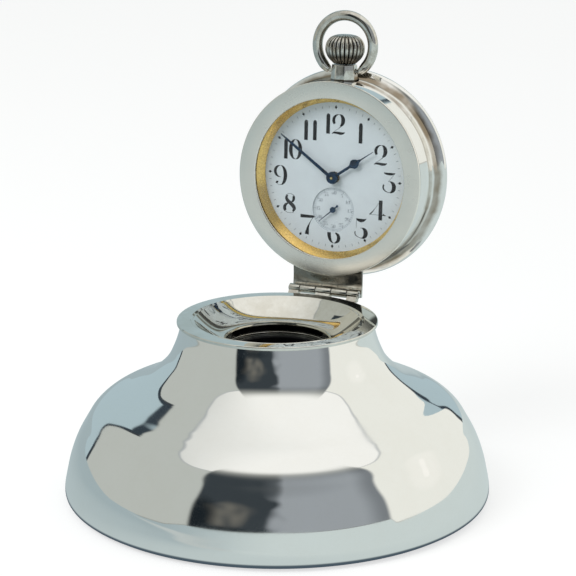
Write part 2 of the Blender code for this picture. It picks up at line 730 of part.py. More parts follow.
def make_stand():
    """The weighted capstan: spun shell, filling, bottom board and baize."""
    outer = body_outline(BODY_OUTLINE_SAMPLES)
    inner = offset_inwards(body_outline(BODY_INNER_SAMPLES), BODY_WALL)
    turned("stand_body", outer + inner[::-1], "silver", STAND, steps=BODY_STEPS)

    low, high = BOARD_TOP + GAP, RIM_HEIGHT - FILLING_TOP_DROP - FILLING_CLEARANCE
    fill = between_heights(offset_inwards(inner, FILLING_CLEARANCE), low, high)
    bore = WELL_RADIUS + CUP_WALL + FILLING_CLEARANCE
    turned("stand_filling", [(bore, low), *fill, (bore, high)], "pitch", STAND, steps=INNER_STEPS)

    board = BASE_RADIUS - BAIZE_INSET - BODY_WALL
    outline = [(0, BOARD_FOOT), (board, BOARD_FOOT), (board, BOARD_TOP), (0, BOARD_TOP)]
    turned("bottom_board", outline, "wood", STAND, steps=INNER_STEPS)
    pad = board - BODY_WALL
    turned("baize_pad", [(0, 0), (pad, 0), (pad, BAIZE_TOP), (0, BAIZE_TOP)], "baize", STAND,
           steps=INNER_STEPS)


def make_well():
    """The tray with its dished opening, the cup soldered under it and the glass liner that lifts out."""
    flat_end = RIM_RADIUS - RIM_FLAT_WIDTH
    dish = []
    for i in range(DISH_SAMPLES):
        share = 1 - i / (DISH_SAMPLES - 1)
        radius = WELL_RADIUS + (flat_end - WELL_RADIUS) * share
        dish.append((radius, DISH_LOW + DISH_DEPTH * share ** DISH_FALL_SHARE))
    under = [(radius + TRAY_WALL / 2, height - TRAY_WALL) for radius, height in dish[1:-1]]
    outline = [
        (RIM_RADIUS, RIM_UNDERSIDE), (RIM_RADIUS, RIM_HEIGHT - RIM_EDGE_CHAMFER),
        (RIM_RADIUS - RIM_EDGE_CHAMFER, RIM_HEIGHT), *dish, (WELL_RADIUS, LIP_LOW),
        (WELL_RADIUS + TRAY_WALL, LIP_LOW), (WELL_RADIUS + TRAY_WALL, DISH_LOW - TRAY_WALL / 2),
        *under[::-1], (flat_end + TRAY_WALL, RIM_UNDERSIDE),
    ]
    turned("well_tray", outline, "silver", STAND, steps=BODY_STEPS)

    cup = WELL_RADIUS + CUP_WALL
    outline = [(0, CUP_LOW), (cup, CUP_LOW), (cup, CUP_TOP), (WELL_RADIUS, CUP_TOP),
               (WELL_RADIUS, CUP_LOW + CUP_WALL), (0, CUP_LOW + CUP_WALL)]
    turned("well_cup", outline, "silver_worn", STAND, steps=INNER_STEPS)

    radius = WELL_RADIUS - GAP
    inner = radius - LINER_WALL
    top = LINER_TOP
    outline = [
        (0, LINER_LOW), (radius - LINER_LIP_CHAMFER, LINER_LOW), (radius, LINER_LOW + LINER_LIP_CHAMFER),
        (radius, top - LINER_LIP_CHAMFER), (radius - LINER_LIP_CHAMFER, top),
        (inner + LINER_LIP_CHAMFER, top),
        (inner, top - LINER_LIP_CHAMFER), (inner, LINER_LOW + LINER_BASE + LINER_WALL),
        (inner - LINER_WALL, LINER_LOW + LINER_BASE), (0, LINER_LOW + LINER_BASE),
    ]
    turned("ink_liner", outline, "glass", STAND, steps=INNER_STEPS)


def knuckle_spans():
    """The five knuckles' ends along X, from the left, and whose they are: stand, lid, stand, lid, stand."""
    lengths = [OUTER_KNUCKLE_LENGTH] + [INNER_KNUCKLE_LENGTH] * 3 + [OUTER_KNUCKLE_LENGTH]
    spans, start = [], -HINGE_WIDTH / 2
    for i, length in enumerate(lengths):
        spans.append((start + GAP / 2, start + length - GAP / 2, "stand" if i % 2 == 0 else "lid"))
        start += length
    return spans


def hinge_leaf(name, owner, sheet, lug, pin_height, parent, worn):
    """A leaf: its sheet, and on the knuckles it owns a lug and a tube, bored for the pin."""
    half = HINGE_WIDTH / 2 - GAP / 2
    leaf = bar_along_x(name, sheet, -half, half, worn, parent)
    for i, (low, high, whose) in enumerate(knuckle_spans()):
        if whose == owner:
            centre = (HINGE_BACK, pin_height)
            tube = rod(f"{name}_tube_{i}", KNUCKLE_RADIUS, (low, *centre), (high, *centre), worn, parent)
            stub = bar_along_x(f"{name}_lug_{i}", lug, low + LUG_INSET, high - LUG_INSET, worn, parent)
            fuse(leaf, stub, tube)
    reach = HINGE_WIDTH / 2 + OVERRUN
    bore = rod(name + "_bore", HINGE_PIN_RADIUS + GAP, (-reach, HINGE_BACK, pin_height),
               (reach, HINGE_BACK, pin_height), worn, parent)
    return cut(leaf, bore)


def make_hinge():
    """The two leaves, soldered to the neck and to the drum, and the pin through their knuckles."""
    top, low = BODY_TOP - STAND_LEAF_DROP, BODY_TOP - STAND_LEAF_DROP - LEAF_THICKNESS
    edge = HINGE_BACK - KNUCKLE_RADIUS - LEAF_SWING_ROOM
    sheet = [(RIM_RADIUS / 2, low), (edge, low), (edge, top), (RIM_RADIUS / 2, top)]
    half = LUG_WIDTH / 2
    lug = [
        (edge - LEAF_THICKNESS, low + LUG_OVERLAP), (HINGE_BACK, low + LUG_OVERLAP),
        (HINGE_BACK + half, HINGE_HEIGHT),
        (HINGE_BACK - half, HINGE_HEIGHT), (edge - LEAF_THICKNESS, top - LUG_OVERLAP),
    ]
    leaf = hinge_leaf("stand_hinge_leaf", "stand", sheet, lug, HINGE_HEIGHT, STAND, "silver_worn")
    neck = [(r + GAP, h) for r, h in body_outline(BODY_OUTLINE_SAMPLES)]
    neck_cutter = [(0, 0), (neck[0][0], 0), *neck, (neck[-1][0], RIM_HEIGHT), (0, RIM_HEIGHT)]
    cut(leaf, turned("neck_cutter", neck_cutter, "silver", STAND, steps=BODY_STEPS))

    low = DRUM_FRONT + LID_LEAF_RISE - GAP
    top = low + LEAF_THICKNESS
    edge = HINGE_BACK + KNUCKLE_RADIUS
    sheet = [(DRUM_RADIUS / 2, low), (edge, low), (edge, top), (DRUM_RADIUS / 2, top)]
    middle = low + LEAF_THICKNESS / 2
    lug = [(HINGE_BACK - half, PIN_IN_LID), (HINGE_BACK + half, PIN_IN_LID), (HINGE_BACK + half, middle),
           (HINGE_BACK - half, middle)]
    leaf = hinge_leaf("lid_hinge_leaf", "lid", sheet, lug, PIN_IN_LID, LID, "silver_worn")
    drum_cutter = rod("drum_cutter", DRUM_RADIUS + GAP, (0, 0, 0), (0, 0, DRUM_STRAIGHT_DEPTH), "silver",
                      LID,
                      steps=2 * LID_STEPS)
    cut(leaf, drum_cutter)

    reach = HINGE_WIDTH / 2 + HINGE_PIN_HEAD
    rod("hinge_pin", HINGE_PIN_RADIUS, (-reach, HINGE_BACK, HINGE_HEIGHT),
        (reach, HINGE_BACK, HINGE_HEIGHT),
        "steel", STAND)


def drum_outline():
    """The drum's outside from its front edge back: straight wall, cove, and a half-round bead."""
    centre = Vector((FLANGE_RADIUS - FLANGE_BEAD, FLANGE_DEPTH))

    def on_bead(angle):
        return centre + FLANGE_BEAD * Vector((math.cos(angle), math.sin(angle)))

    start, end = Vector((DRUM_RADIUS, DRUM_STRAIGHT_DEPTH)), on_bead(BEAD_START)
    reach = (end.y - start.y) * COVE_HANDLE_SHARE
    leaving = start + Vector((0, reach))
    arriving = end - reach * Vector((-math.sin(BEAD_START), math.cos(BEAD_START)))
    points = [(DRUM_RADIUS, DRUM_FRONT)]
    for i in range(COVE_SAMPLES + 1):
        t = i / COVE_SAMPLES
        s = 1 - t
        points.append(tuple(start * s ** 3 + 3 * leaving * t * s ** 2 + 3 * arriving * t ** 2 * s
                            + end * t ** 3))
    points += [tuple(on_bead(BEAD_START + BEAD_SWEEP * i / BEAD_SAMPLES))
               for i in range(1, BEAD_SAMPLES + 1)]
    return points


def make_lid_shell():
    """The drum with its flange, the flat bezel that closes its front, the domed back and the pad."""
    outer = drum_outline()
    inner = offset_inwards(outer, DRUM_WALL)
    drum = turned("lid_drum", outer + inner[::-1], "silver", LID, steps=LID_STEPS)
    hole = rod("pendant_hole", PENDANT_FOOT_RADIUS + PENDANT_HOLE_ROOM,
               (0, -PENDANT_FOOT + OVERRUN, STEM_DEPTH),
               (0, -PENDANT_TOP, STEM_DEPTH), "silver", LID, steps=INNER_STEPS)
    cut(drum, hole)

    skirt = DRUM_INNER_RADIUS - GAP
    outline = [
        (BEZEL_INNER_RADIUS, BEZEL_EDGE), (BEZEL_INNER_RADIUS + BEZEL_EDGE, 0),
        (BEZEL_RADIUS - BEZEL_EDGE, 0),
        (BEZEL_RADIUS, BEZEL_EDGE), (BEZEL_RADIUS, BEZEL_THICKNESS), (skirt, BEZEL_THICKNESS),
        (skirt, BEZEL_THICKNESS + BEZEL_SKIRT_DEPTH),
        (skirt - BEZEL_SKIRT_WALL, BEZEL_THICKNESS + BEZEL_SKIRT_DEPTH),
        (skirt - BEZEL_SKIRT_WALL, BEZEL_THICKNESS), (BEZEL_INNER_RADIUS, BEZEL_THICKNESS),
    ]
    turned("lid_bezel", outline, "silver", LID, steps=LID_STEPS)

    seat = FLANGE_DEPTH + FLANGE_BEAD - LID_BACK_WALL
    dome = []
    for i in range(LID_BACK_SAMPLES + 1):
        share = i / LID_BACK_SAMPLES
        dome.append((LID_BACK_RADIUS * (1 - share), seat + LID_BACK_RISE * math.sin(share * math.pi / 2)))
    outline = dome + [(r, h + LID_BACK_WALL) for r, h in dome[::-1]]
    turned("lid_back", outline, "silver", LID, steps=LID_STEPS)

    low = CASE_MIDDLE_BACK + GAP + CASE_BACK_RIM + CASE_BACK_RISE + GAP
    pad = DRUM_INNER_RADIUS - BODY_WALL
    outline = [(0, low), (pad, low), (pad, low + PAD_THICKNESS), (0, low + PAD_THICKNESS)]
    turned("lid_pad", outline, "velvet", LID, steps=INNER_STEPS)


def make_watch_case():
    """The watch's own case: bezel, crystal, gilt ring, middle, back, pendant, bow, crown and stem."""
    seat = BEZEL_THICKNESS + GAP
    ledge = seat + CRYSTAL_THICKNESS + GAP
    back = CASE_MIDDLE_FRONT - GAP
    outer = DRUM_INNER_RADIUS - GAP - BEZEL_SKIRT_WALL - GAP
    crystal = outer - WATCH_BEZEL_WIDTH - GAP
    lip = crystal - GAP / 2
    outline = [(crystal + GAP, seat), (outer, seat), (outer, back), (lip, back), (lip, ledge),
               (crystal + GAP, ledge)]
    turned("watch_bezel", outline, "steel", LID)

    dome = [
        (crystal * (1 - i / CRYSTAL_SAMPLES),
         seat - CRYSTAL_RISE * math.sin(i / CRYSTAL_SAMPLES * math.pi / 2))
        for i in range(CRYSTAL_SAMPLES + 1)
    ]
    outline = dome + [(r, h + CRYSTAL_THICKNESS) for r, h in dome[::-1]]
    turned("crystal", outline, "glass", LID)

    ring = lip - GAP
    outline = [(ring - GILT_RING_WALL, ledge), (ring, ledge), (ring, DIAL_DEPTH - GAP),
               (GILT_RING_INNER_RADIUS, DIAL_DEPTH - GAP)]
    turned("gilt_ring", outline, "gilt", LID, steps=LID_STEPS)

    inner = WATCH_RADIUS - CASE_WALL
    outline = [(inner, CASE_MIDDLE_FRONT), (WATCH_RADIUS, CASE_MIDDLE_FRONT),
               (WATCH_RADIUS, CASE_MIDDLE_BACK), (inner, CASE_MIDDLE_BACK)]
    middle = turned("watch_case_middle", outline, "steel", LID)
    hole = rod("stem_hole", STEM_RADIUS + GAP, (0, -STEM_END, STEM_DEPTH), (0, -PENDANT_TOP, STEM_DEPTH),
               "steel", LID)
    cut(middle, hole)

    low = CASE_MIDDLE_BACK + GAP
    dome = [
        (WATCH_RADIUS * (1 - i / CASE_BACK_SAMPLES),
         low + CASE_BACK_RIM + CASE_BACK_RISE * math.sin(i / CASE_BACK_SAMPLES * math.pi / 2))
        for i in range(CASE_BACK_SAMPLES + 1)
    ]
    inside = [(max(r - CASE_WALL, 0), h - CASE_BACK_THICKNESS) for r, h in dome[:-1]]
    inside += [(0, dome[-1][1] - CASE_BACK_THICKNESS)]
    outline = [(WATCH_RADIUS, low), *dome, *inside[::-1], (WATCH_RADIUS - CASE_WALL, low)]
    turned("watch_case_back", outline, "steel", LID)
    make_pendant_and_bow()
    make_crown()


def make_pendant_and_bow():
    """The eight-sided pendant, bored for the stem and dimpled for the bow's tips, and the bow."""
    pendant = rod("pendant", PENDANT_FOOT_RADIUS, (0, -PENDANT_FOOT, 0), (0, -PENDANT_TOP, 0),
                  "silver_worn", LID,
                  (0, 0, STEM_DEPTH), steps=PENDANT_SIDES, end_radius=PENDANT_TOP_RADIUS)
    pendant.data.transform(Matrix.Rotation(math.pi / PENDANT_SIDES, 4, "Y"))
    bore = rod("pendant_bore", STEM_RADIUS + GAP, (0, OVERRUN - PENDANT_FOOT, STEM_DEPTH),
               (0, -PENDANT_TOP - OVERRUN, STEM_DEPTH), "steel", LID, steps=TINY_STEPS)
    flat = PENDANT_TOP_RADIUS * math.cos(math.pi / PENDANT_SIDES)
    dimples = [
        rod(f"bow_dimple_{side}", BOW_TIP_RADIUS + GAP,
            (side * (flat - BOW_TIP_LENGTH - GAP), -BOW_PIVOT, STEM_DEPTH),
            (side * PENDANT_FOOT_RADIUS, -BOW_PIVOT, STEM_DEPTH), "steel", LID, steps=TINY_STEPS)
        for side in (-1, 1)
    ]
    cut(pendant, bore, *dimples)

    radius = BOW_OUTER_RADIUS - BOW_WIRE_RADIUS
    half_gap = math.acos((BOW_CENTRE - BOW_PIVOT) / radius)
    rise = BOW_CENTRE - BOW_PIVOT
    points, radii = [], []
    for i in range(BOW_POINTS):
        at = half_gap + (2 * math.pi - 2 * half_gap) * i / (BOW_POINTS - 1)
        points.append((radius * math.sin(at), -rise + radius * math.cos(at), 0))
        radii.append(BOW_WIRE_RADIUS)
    end = radius * math.sin(half_gap)
    tip = flat - BOW_TIP_LENGTH + GAP
    neck = (end + flat) / 2 + GAP
    for k, share in ((0, BOW_END_SHARE), (1, BOW_SHOULDER_SHARE)):
        radii[k] = radii[-1 - k] = BOW_WIRE_RADIUS * share
    points = [(tip, 0, 0), (neck, 0, 0), *points, (-neck, 0, 0), (-tip, 0, 0)]
    radii = [BOW_TIP_RADIUS, BOW_TIP_RADIUS, *radii, BOW_TIP_RADIUS, BOW_TIP_RADIUS]
    wire("bow", points, radii, "silver_worn", LID, (0, -BOW_PIVOT, STEM_DEPTH), resolution=3)


def make_crown():
    """The fluted onion crown, the stem it is screwed to and the winding pinion on the stem."""
    work = bmesh.new()
    profile = smooth_curve([(r * CROWN_RADIUS, h * CROWN_HEIGHT) for r, h in CROWN_PROFILE_SHARES],
                           len(CROWN_PROFILE_SHARES))
    loops = []
    for radius, height in profile:
        loop = []
        for i in range(2 * CROWN_RIBS):
            at = math.pi * i / CROWN_RIBS
            depth = CROWN_RIB_DEPTH * radius / CROWN_RADIUS if i % 2 else 0
            loop.append(work.verts.new(((radius - depth) * math.cos(at), -height,
                                        (radius - depth) * math.sin(at))))
        loops.append(loop)
    for lower, upper in zip(loops, loops[1:]):
        for i in range(len(lower)):
            j = (i + 1) % len(lower)
            work.faces.new((lower[i], lower[j], upper[j], upper[i]))
    work.faces.new(loops[0])
    work.faces.new(loops[-1])
    bmesh.ops.recalc_face_normals(work, faces=work.faces)
    mesh = bpy.data.meshes.new("crown")
    work.to_mesh(mesh)
    work.free()
    crown = add_object("crown", mesh, "silver_worn", LID, (0, -CROWN_FOOT, STEM_DEPTH))
    stem_top = CROWN_FOOT + CROWN_HEIGHT / 2
    socket = rod("crown_socket", STEM_RADIUS + GAP, (0, OVERRUN - CROWN_FOOT, STEM_DEPTH),
                 (0, -stem_top - GAP, STEM_DEPTH), "steel", LID, steps=TINY_STEPS)
    cut(crown, socket)
    rod("winding_stem", STEM_RADIUS, (0, CROWN_FOOT - STEM_END, 0), (0, CROWN_FOOT - stem_top, 0), "steel",
        LID,
        (0, -CROWN_FOOT, STEM_DEPTH), steps=TINY_STEPS)

    teeth = gear_outline(WINDING_PINION_TEETH, WINDING_PINION_RADIUS, WINDING_PINION_RADIUS + GAP)
    bore = ring_points(STEM_RADIUS + GAP, TINY_STEPS)
    near = CROWN_WHEEL_DROP + crown_wheel_radii()[1] + GAP
    pinion = plate("winding_pinion", [teeth, bore], 0, WINDING_PINION_LENGTH, "steel", LID,
                   (0, -near, STEM_DEPTH))
    pinion.data.transform(Matrix.Rotation(math.pi / 2, 4, "X"))


def crown_wheel_radii():
    """Root and tip radius of the crown wheel, which meshes with the ratchet wheel."""
    return tooth_radii((CROWN_WHEEL - BARREL).length, CROWN_WHEEL_TEETH, RATCHET_TEETH)


def make_dial():
    """The enamel dial and its sunk seconds dial."""
    outlines = [
        ring_points(DIAL_RADIUS, LID_STEPS), ring_points(HOUR_TUBE_RADIUS + GAP, SMALL_STEPS),
        ring_points(SUBDIAL_RADIUS, INNER_STEPS, FOURTH),
    ]
    plate("dial", outlines, DIAL_DEPTH, DIAL_BACK, "enamel", LID)
    outlines = [ring_points(SUBDIAL_RADIUS - GAP, INNER_STEPS), ring_points(ARBOR_HOLE, TINY_STEPS)]
    low = DIAL_DEPTH + SUBDIAL_SINK
    plate("seconds_dial", outlines, low, low + SUBDIAL_THICKNESS, "enamel", LID, FOURTH)


def hand_blade(angle, places):
    """The outline of a hand: half widths at distances from the arbor, mirrored about its line."""
    direction = Vector((math.sin(angle), -math.cos(angle)))
    side = Vector((direction.y, -direction.x))
    right = [direction * distance + side * half for distance, half in places]
    left = [direction * distance - side * half for distance, half in reversed(places)]
    return [tuple(p) for p in right + left]


def make_hands():
    """Blued hands: a tapered minute hand, an hour hand with a bulb and a tailed seconds hand."""
    tip = HAND_TIP_SHARE
    back = DIAL_DEPTH - MINUTE_HAND_HEIGHT
    blade = hand_blade(MINUTE_HAND_ANGLE, [(CANNON_TUBE_RADIUS, MINUTE_HAND_WIDTH / 2),
                                           (MINUTE_HAND_LENGTH, MINUTE_HAND_WIDTH * tip)])
    minute = plate("minute_hand", [blade], back - HAND_THICKNESS, back, "blued_steel", LID)
    hub = plate("minute_hub", [ring_points(MINUTE_HUB_RADIUS, SMALL_STEPS)], back - HAND_THICKNESS, back,
                "blued_steel", LID)
    hole = rod("minute_hole", ARBOR_HOLE, (0, 0, 0), (0, 0, DIAL_DEPTH), "steel", LID, steps=TINY_STEPS)
    cut(fuse(minute, hub), hole)

    back = DIAL_DEPTH - HOUR_HAND_HEIGHT
    thin = HOUR_HAND_WIDTH / 2
    bulb = [(HOUR_BULB_DISTANCE + d * HOUR_BULB_RADIUS, w * HOUR_BULB_RADIUS) for d, w in HOUR_BULB_SHARES]
    places = [(CANNON_TUBE_RADIUS + GAP, thin), (bulb[0][0] - thin, thin), *bulb,
              (HOUR_HAND_LENGTH, thin * tip)]
    hour = plate("hour_hand", [hand_blade(HOUR_HAND_ANGLE, places)], back - HAND_THICKNESS, back,
                 "blued_steel", LID)
    hub = plate("hour_hub", [ring_points(HOUR_HUB_RADIUS, SMALL_STEPS)], back - HAND_THICKNESS, back,
                "blued_steel", LID)
    hole = rod("hour_hole", CANNON_TUBE_RADIUS + GAP, (0, 0, 0), (0, 0, DIAL_DEPTH), "steel", LID,
               steps=SMALL_STEPS)
    cut(fuse(hour, hub), hole)

    back = DIAL_DEPTH - SECONDS_HAND_HEIGHT
    thin = SECONDS_HAND_WIDTH / 2
    places = [(-SECONDS_TAIL_LENGTH, thin * 2), (0, thin), (SECONDS_HAND_LENGTH, thin * 2 * tip)]
    blade = hand_blade(SECONDS_HAND_ANGLE, places)
    seconds = plate("seconds_hand", [blade], back - HAND_THICKNESS, back, "blued_steel", LID, FOURTH)
    hub = plate("seconds_hub", [ring_points(SECONDS_HUB_RADIUS, SMALL_STEPS)], back - HAND_THICKNESS, back,
                "blued_steel", LID, FOURTH)
    fuse(seconds, hub)


# The movement

def arbor_level_disc(name, radius, low, high, place, steps=SMALL_STEPS):
    """A round cutter or body standing on a place of the movement."""
    return rod(name, radius, (place[0], place[1], low), (place[0], place[1], high), "steel", LID,
               steps=steps)


def bored(piece, places, radius=None, low=None, high=None):
    """Drill a piece at places, right through unless levels are given."""
    for i, place in enumerate(places):
        drill = arbor_level_disc(
            f"{piece.name}_drill_{i}", ARBOR_HOLE if radius is None else radius,
            PLATE_FRONT - OVERRUN if low is None else low, COCK_FRONT + OVERRUN if high is None else high,
            place,
            TINY_STEPS,
        )
        cut(piece, drill)
    return piece


def screw(name, place, level, head_radius=SCREW_HEAD_RADIUS, shank_radius=SCREW_SHANK_RADIUS,
          shank_length=SCREW_SHANK_LENGTH):
    """A slotted screw whose head stands behind a level."""
    x, y = place[0], place[1]
    top = level + SCREW_HEAD_HEIGHT
    made = rod(name, head_radius, (0, 0, level), (0, 0, top), "blued_steel", LID, (x, y, 0),
               steps=SMALL_STEPS)
    shank = rod(name + "_shank", shank_radius, (0, 0, level - shank_length),
                (0, 0, top - SCREW_SLOT_DEPTH * 2), "steel",
                LID, (x, y, 0), steps=TINY_STEPS)
    slot = block(name + "_slot", (-head_radius - OVERRUN, -SCREW_SLOT_WIDTH / 2, top - SCREW_SLOT_DEPTH),
                 (head_radius + OVERRUN, SCREW_SLOT_WIDTH / 2, top + OVERRUN), "steel", LID, (x, y, 0))
    return cut(fuse(made, shank), slot)


def make_main_plate():
    """The main plate, hollowed for the motion work in front and for the barrel behind."""
    plate_disc = [ring_points(PLATE_RADIUS, LID_STEPS)]
    main = plate("main_plate", plate_disc, PLATE_FRONT, PLATE_BACK, "gilt", LID)
    floor = PLATE_FRONT + MOTION_RECESS_DEPTH
    cut(main,
        arbor_level_disc("motion_recess", MOTION_RECESS_RADIUS, DIAL_DEPTH, floor, CENTRE, INNER_STEPS))
    shelf = PLATE_BACK - BARREL_RECESS_DEPTH
    barrel_room = tooth_radii(CENTRE_TO_BARREL, BARREL_TEETH, CENTRE_PINION_LEAVES)[1] + 2 * GAP
    pinion_room = tooth_radii(CENTRE_TO_BARREL, CENTRE_PINION_LEAVES, BARREL_TEETH)[1] + 2 * GAP
    cut(main, arbor_level_disc("barrel_recess", barrel_room, shelf, BRIDGE_FRONT, BARREL, INNER_STEPS))
    cut(main, arbor_level_disc("pinion_recess", pinion_room, shelf, BRIDGE_FRONT, CENTRE))
    bored(main, [THIRD, FOURTH, ESCAPE, PALLET, BALANCE, MINUTE_ARBOR])
    bored(main, [BARREL], BARREL_ARBOR_RADIUS + GAP)
    return bored(main, [CENTRE], CANNON_TUBE_RADIUS + GAP)


def bridge(name, circles, feet, front, foot_radius):
    """A bridge: a plate stretched round circles, standing on round feet on the main plate."""
    made = plate(name, [belt_outline(circles)], front, front + BRIDGE_THICKNESS, "gilt", LID)
    for i, place in enumerate(feet):
        fuse(made, arbor_level_disc(f"{name}_foot_{i}", foot_radius, PLATE_BACK + GAP,
                                    front + BRIDGE_THICKNESS / 2, place))
    return made


def make_bridges():
    """The barrel bridge, the train bridge and the balance cock, each with its screws."""
    feet = [BARREL_FOOT_LEFT, BARREL_FOOT_RIGHT]
    circles = [(place, BRIDGE_MARGIN) for place in feet]
    circles += [(BARREL, BARREL_COVER_RADIUS), (CROWN_WHEEL, CROWN_WHEEL_COVER_RADIUS)]
    barrel_bridge = bridge("barrel_bridge", circles, feet, BRIDGE_FRONT, BRIDGE_FOOT_RADIUS)
    bored(barrel_bridge, [BARREL], BARREL_ARBOR_RADIUS + GAP)
    bored(barrel_bridge, [CROWN_WHEEL], CORE_SCREW_SHANK_RADIUS + GAP)
    shank_end = WINDING_LEVEL - SCREW_SHANK_LENGTH - GAP
    bored(barrel_bridge, [*feet, click_place()], SCREW_SHANK_RADIUS + GAP, shank_end)

    feet = [TRAIN_FOOT_RIGHT, TRAIN_FOOT_LOW]
    circles = [(place, BRIDGE_MARGIN) for place in (CENTRE, THIRD, FOURTH, ESCAPE, *feet)]
    circles.append((PALLET, PALLET_MARGIN))
    train_bridge = bridge("train_bridge", circles, feet, BRIDGE_FRONT, BRIDGE_FOOT_RADIUS)
    bored(train_bridge, [CENTRE, THIRD, FOURTH, ESCAPE, PALLET])
    bored(train_bridge, feet, SCREW_SHANK_RADIUS + GAP, shank_end)

    circles = [(BALANCE, COCK_HEAD_RADIUS), (COCK_FOOT, COCK_FOOT_RADIUS + 2 * GAP)]
    cock = bridge("balance_cock", circles, [COCK_FOOT], COCK_FRONT, COCK_FOOT_RADIUS)
    bored(cock, [BALANCE])
    cock_seat = COCK_FRONT + BRIDGE_THICKNESS + GAP
    bored(cock, [COCK_FOOT], SCREW_SHANK_RADIUS + GAP, cock_seat - SCREW_SHANK_LENGTH - GAP, cock_seat)

    screw("barrel_bridge_screw_left", BARREL_FOOT_LEFT, WINDING_LEVEL)
    screw("barrel_bridge_screw_right", BARREL_FOOT_RIGHT, WINDING_LEVEL)
    screw("train_bridge_screw_right", TRAIN_FOOT_RIGHT, WINDING_LEVEL)
    screw("train_bridge_screw_low", TRAIN_FOOT_LOW, WINDING_LEVEL)
    screw("balance_cock_screw", COCK_FOOT, cock_seat)


def toothed_wheel(name, teeth, radii, low, finish, place, phase, thickness=WHEEL_THICKNESS):
    """A wheel with five arms between its toothed rim and its hub."""
    inner = radii[0] - WHEEL_RIM_WIDTH
    outlines = [gear_outline(teeth, radii[0], radii[1], phase)]
    outlines += arm_windows(WHEEL_ARMS, WHEEL_HUB_RADIUS, inner, WHEEL_ARM_WIDTH, phase)
    return plate(name, outlines, low, low + thickness, finish, LID, place)


def add_arbor(wheel, low, high, radius=ARBOR_RADIUS):
    """Give a wheel its arbor."""
    arbor = rod(wheel.name + "_arbor", radius, (0, 0, low), (0, 0, high), "steel", LID, wheel.location,
                steps=TINY_STEPS)
    return fuse(wheel, arbor)


def add_pinion(wheel, leaves, radii, low, length, phase):
    """Give a wheel its pinion."""
    outline = [gear_outline(leaves, radii[0], radii[1], phase)]
    return fuse(wheel,
                plate(wheel.name + "_pinion", outline, low, low + length, "steel", LID, wheel.location))


def direction(start, end):
    """The angle of the line from one place to another."""
    return math.atan2(end[1] - start[1], end[0] - start[0])


def driven_phase(driver, driven, leaves):
    """The phase that puts a gap of the driven gear opposite the driver's tooth."""
    return direction(driven, driver) + math.pi / leaves


def make_going_train():
    """Barrel, centre, third, fourth and escape wheels, each with its pinion and arbor."""
    bottom, top = PLATE_BACK - PIVOT_REACH, BRIDGE_FRONT + PIVOT_REACH
    to_third = tooth_radii(CENTRE_TO_THIRD, CENTRE_TEETH, THIRD_PINION_LEAVES)
    wheel = toothed_wheel("centre_wheel", CENTRE_TEETH, to_third, CENTRE_WHEEL_LEVEL, "brass", CENTRE,
                          direction(CENTRE, THIRD))
    leaves = tooth_radii(CENTRE_TO_BARREL, CENTRE_PINION_LEAVES, BARREL_TEETH)
    add_pinion(wheel, CENTRE_PINION_LEAVES, leaves, CENTRE_PINION_LEVEL, PINION_LENGTH,
               driven_phase(BARREL, CENTRE, CENTRE_PINION_LEAVES))
    add_arbor(wheel, CENTRE_ARBOR_FRONT, top)

    radii = tooth_radii(THIRD_TO_FOURTH, THIRD_TEETH, FOURTH_PINION_LEAVES)
    wheel = toothed_wheel("third_wheel", THIRD_TEETH, radii, THIRD_WHEEL_LEVEL, "brass", THIRD,
                          direction(THIRD, FOURTH))
    leaves = tooth_radii(CENTRE_TO_THIRD, THIRD_PINION_LEAVES, CENTRE_TEETH)
    add_pinion(wheel, THIRD_PINION_LEAVES, leaves, THIRD_PINION_LEVEL, PINION_LENGTH,
               driven_phase(CENTRE, THIRD, THIRD_PINION_LEAVES))
    add_arbor(wheel, bottom, top)

    radii = tooth_radii(FOURTH_TO_ESCAPE, FOURTH_TEETH, ESCAPE_PINION_LEAVES)
    wheel = toothed_wheel("fourth_wheel", FOURTH_TEETH, radii, FOURTH_WHEEL_LEVEL, "brass", FOURTH,
                          direction(FOURTH, ESCAPE))
    leaves = tooth_radii(THIRD_TO_FOURTH, FOURTH_PINION_LEAVES, THIRD_TEETH)
    add_pinion(wheel, FOURTH_PINION_LEAVES, leaves, FOURTH_PINION_LEVEL, PINION_LENGTH,
               driven_phase(THIRD, FOURTH, FOURTH_PINION_LEAVES))
    add_arbor(wheel, DIAL_DEPTH - SECONDS_HAND_HEIGHT + GAP, top)

    escape = toothed_wheel("escape_wheel", ESCAPE_TEETH,
                           (ESCAPE_RADIUS - ESCAPE_TOOTH_DEPTH, ESCAPE_RADIUS),
                           ESCAPE_WHEEL_LEVEL, "steel", ESCAPE, 0)
    leaves = tooth_radii(FOURTH_TO_ESCAPE, ESCAPE_PINION_LEAVES, FOURTH_TEETH)
    add_pinion(escape, ESCAPE_PINION_LEAVES, leaves, ESCAPE_PINION_LEVEL, PINION_LENGTH,
               driven_phase(FOURTH, ESCAPE, ESCAPE_PINION_LEAVES))
    add_arbor(escape, bottom, top)


def spiral(inner, outer, turns):
    """Points along a flat spiral from its inner end outwards."""
    count = turns * SPIRAL_POINTS_PER_TURN
    made = []
    for i in range(count + 1):
        at = 2 * math.pi * i / SPIRAL_POINTS_PER_TURN
        radius = inner + (outer - inner) * i / count
        made.append((radius * math.cos(at), radius * math.sin(at)))
    return made


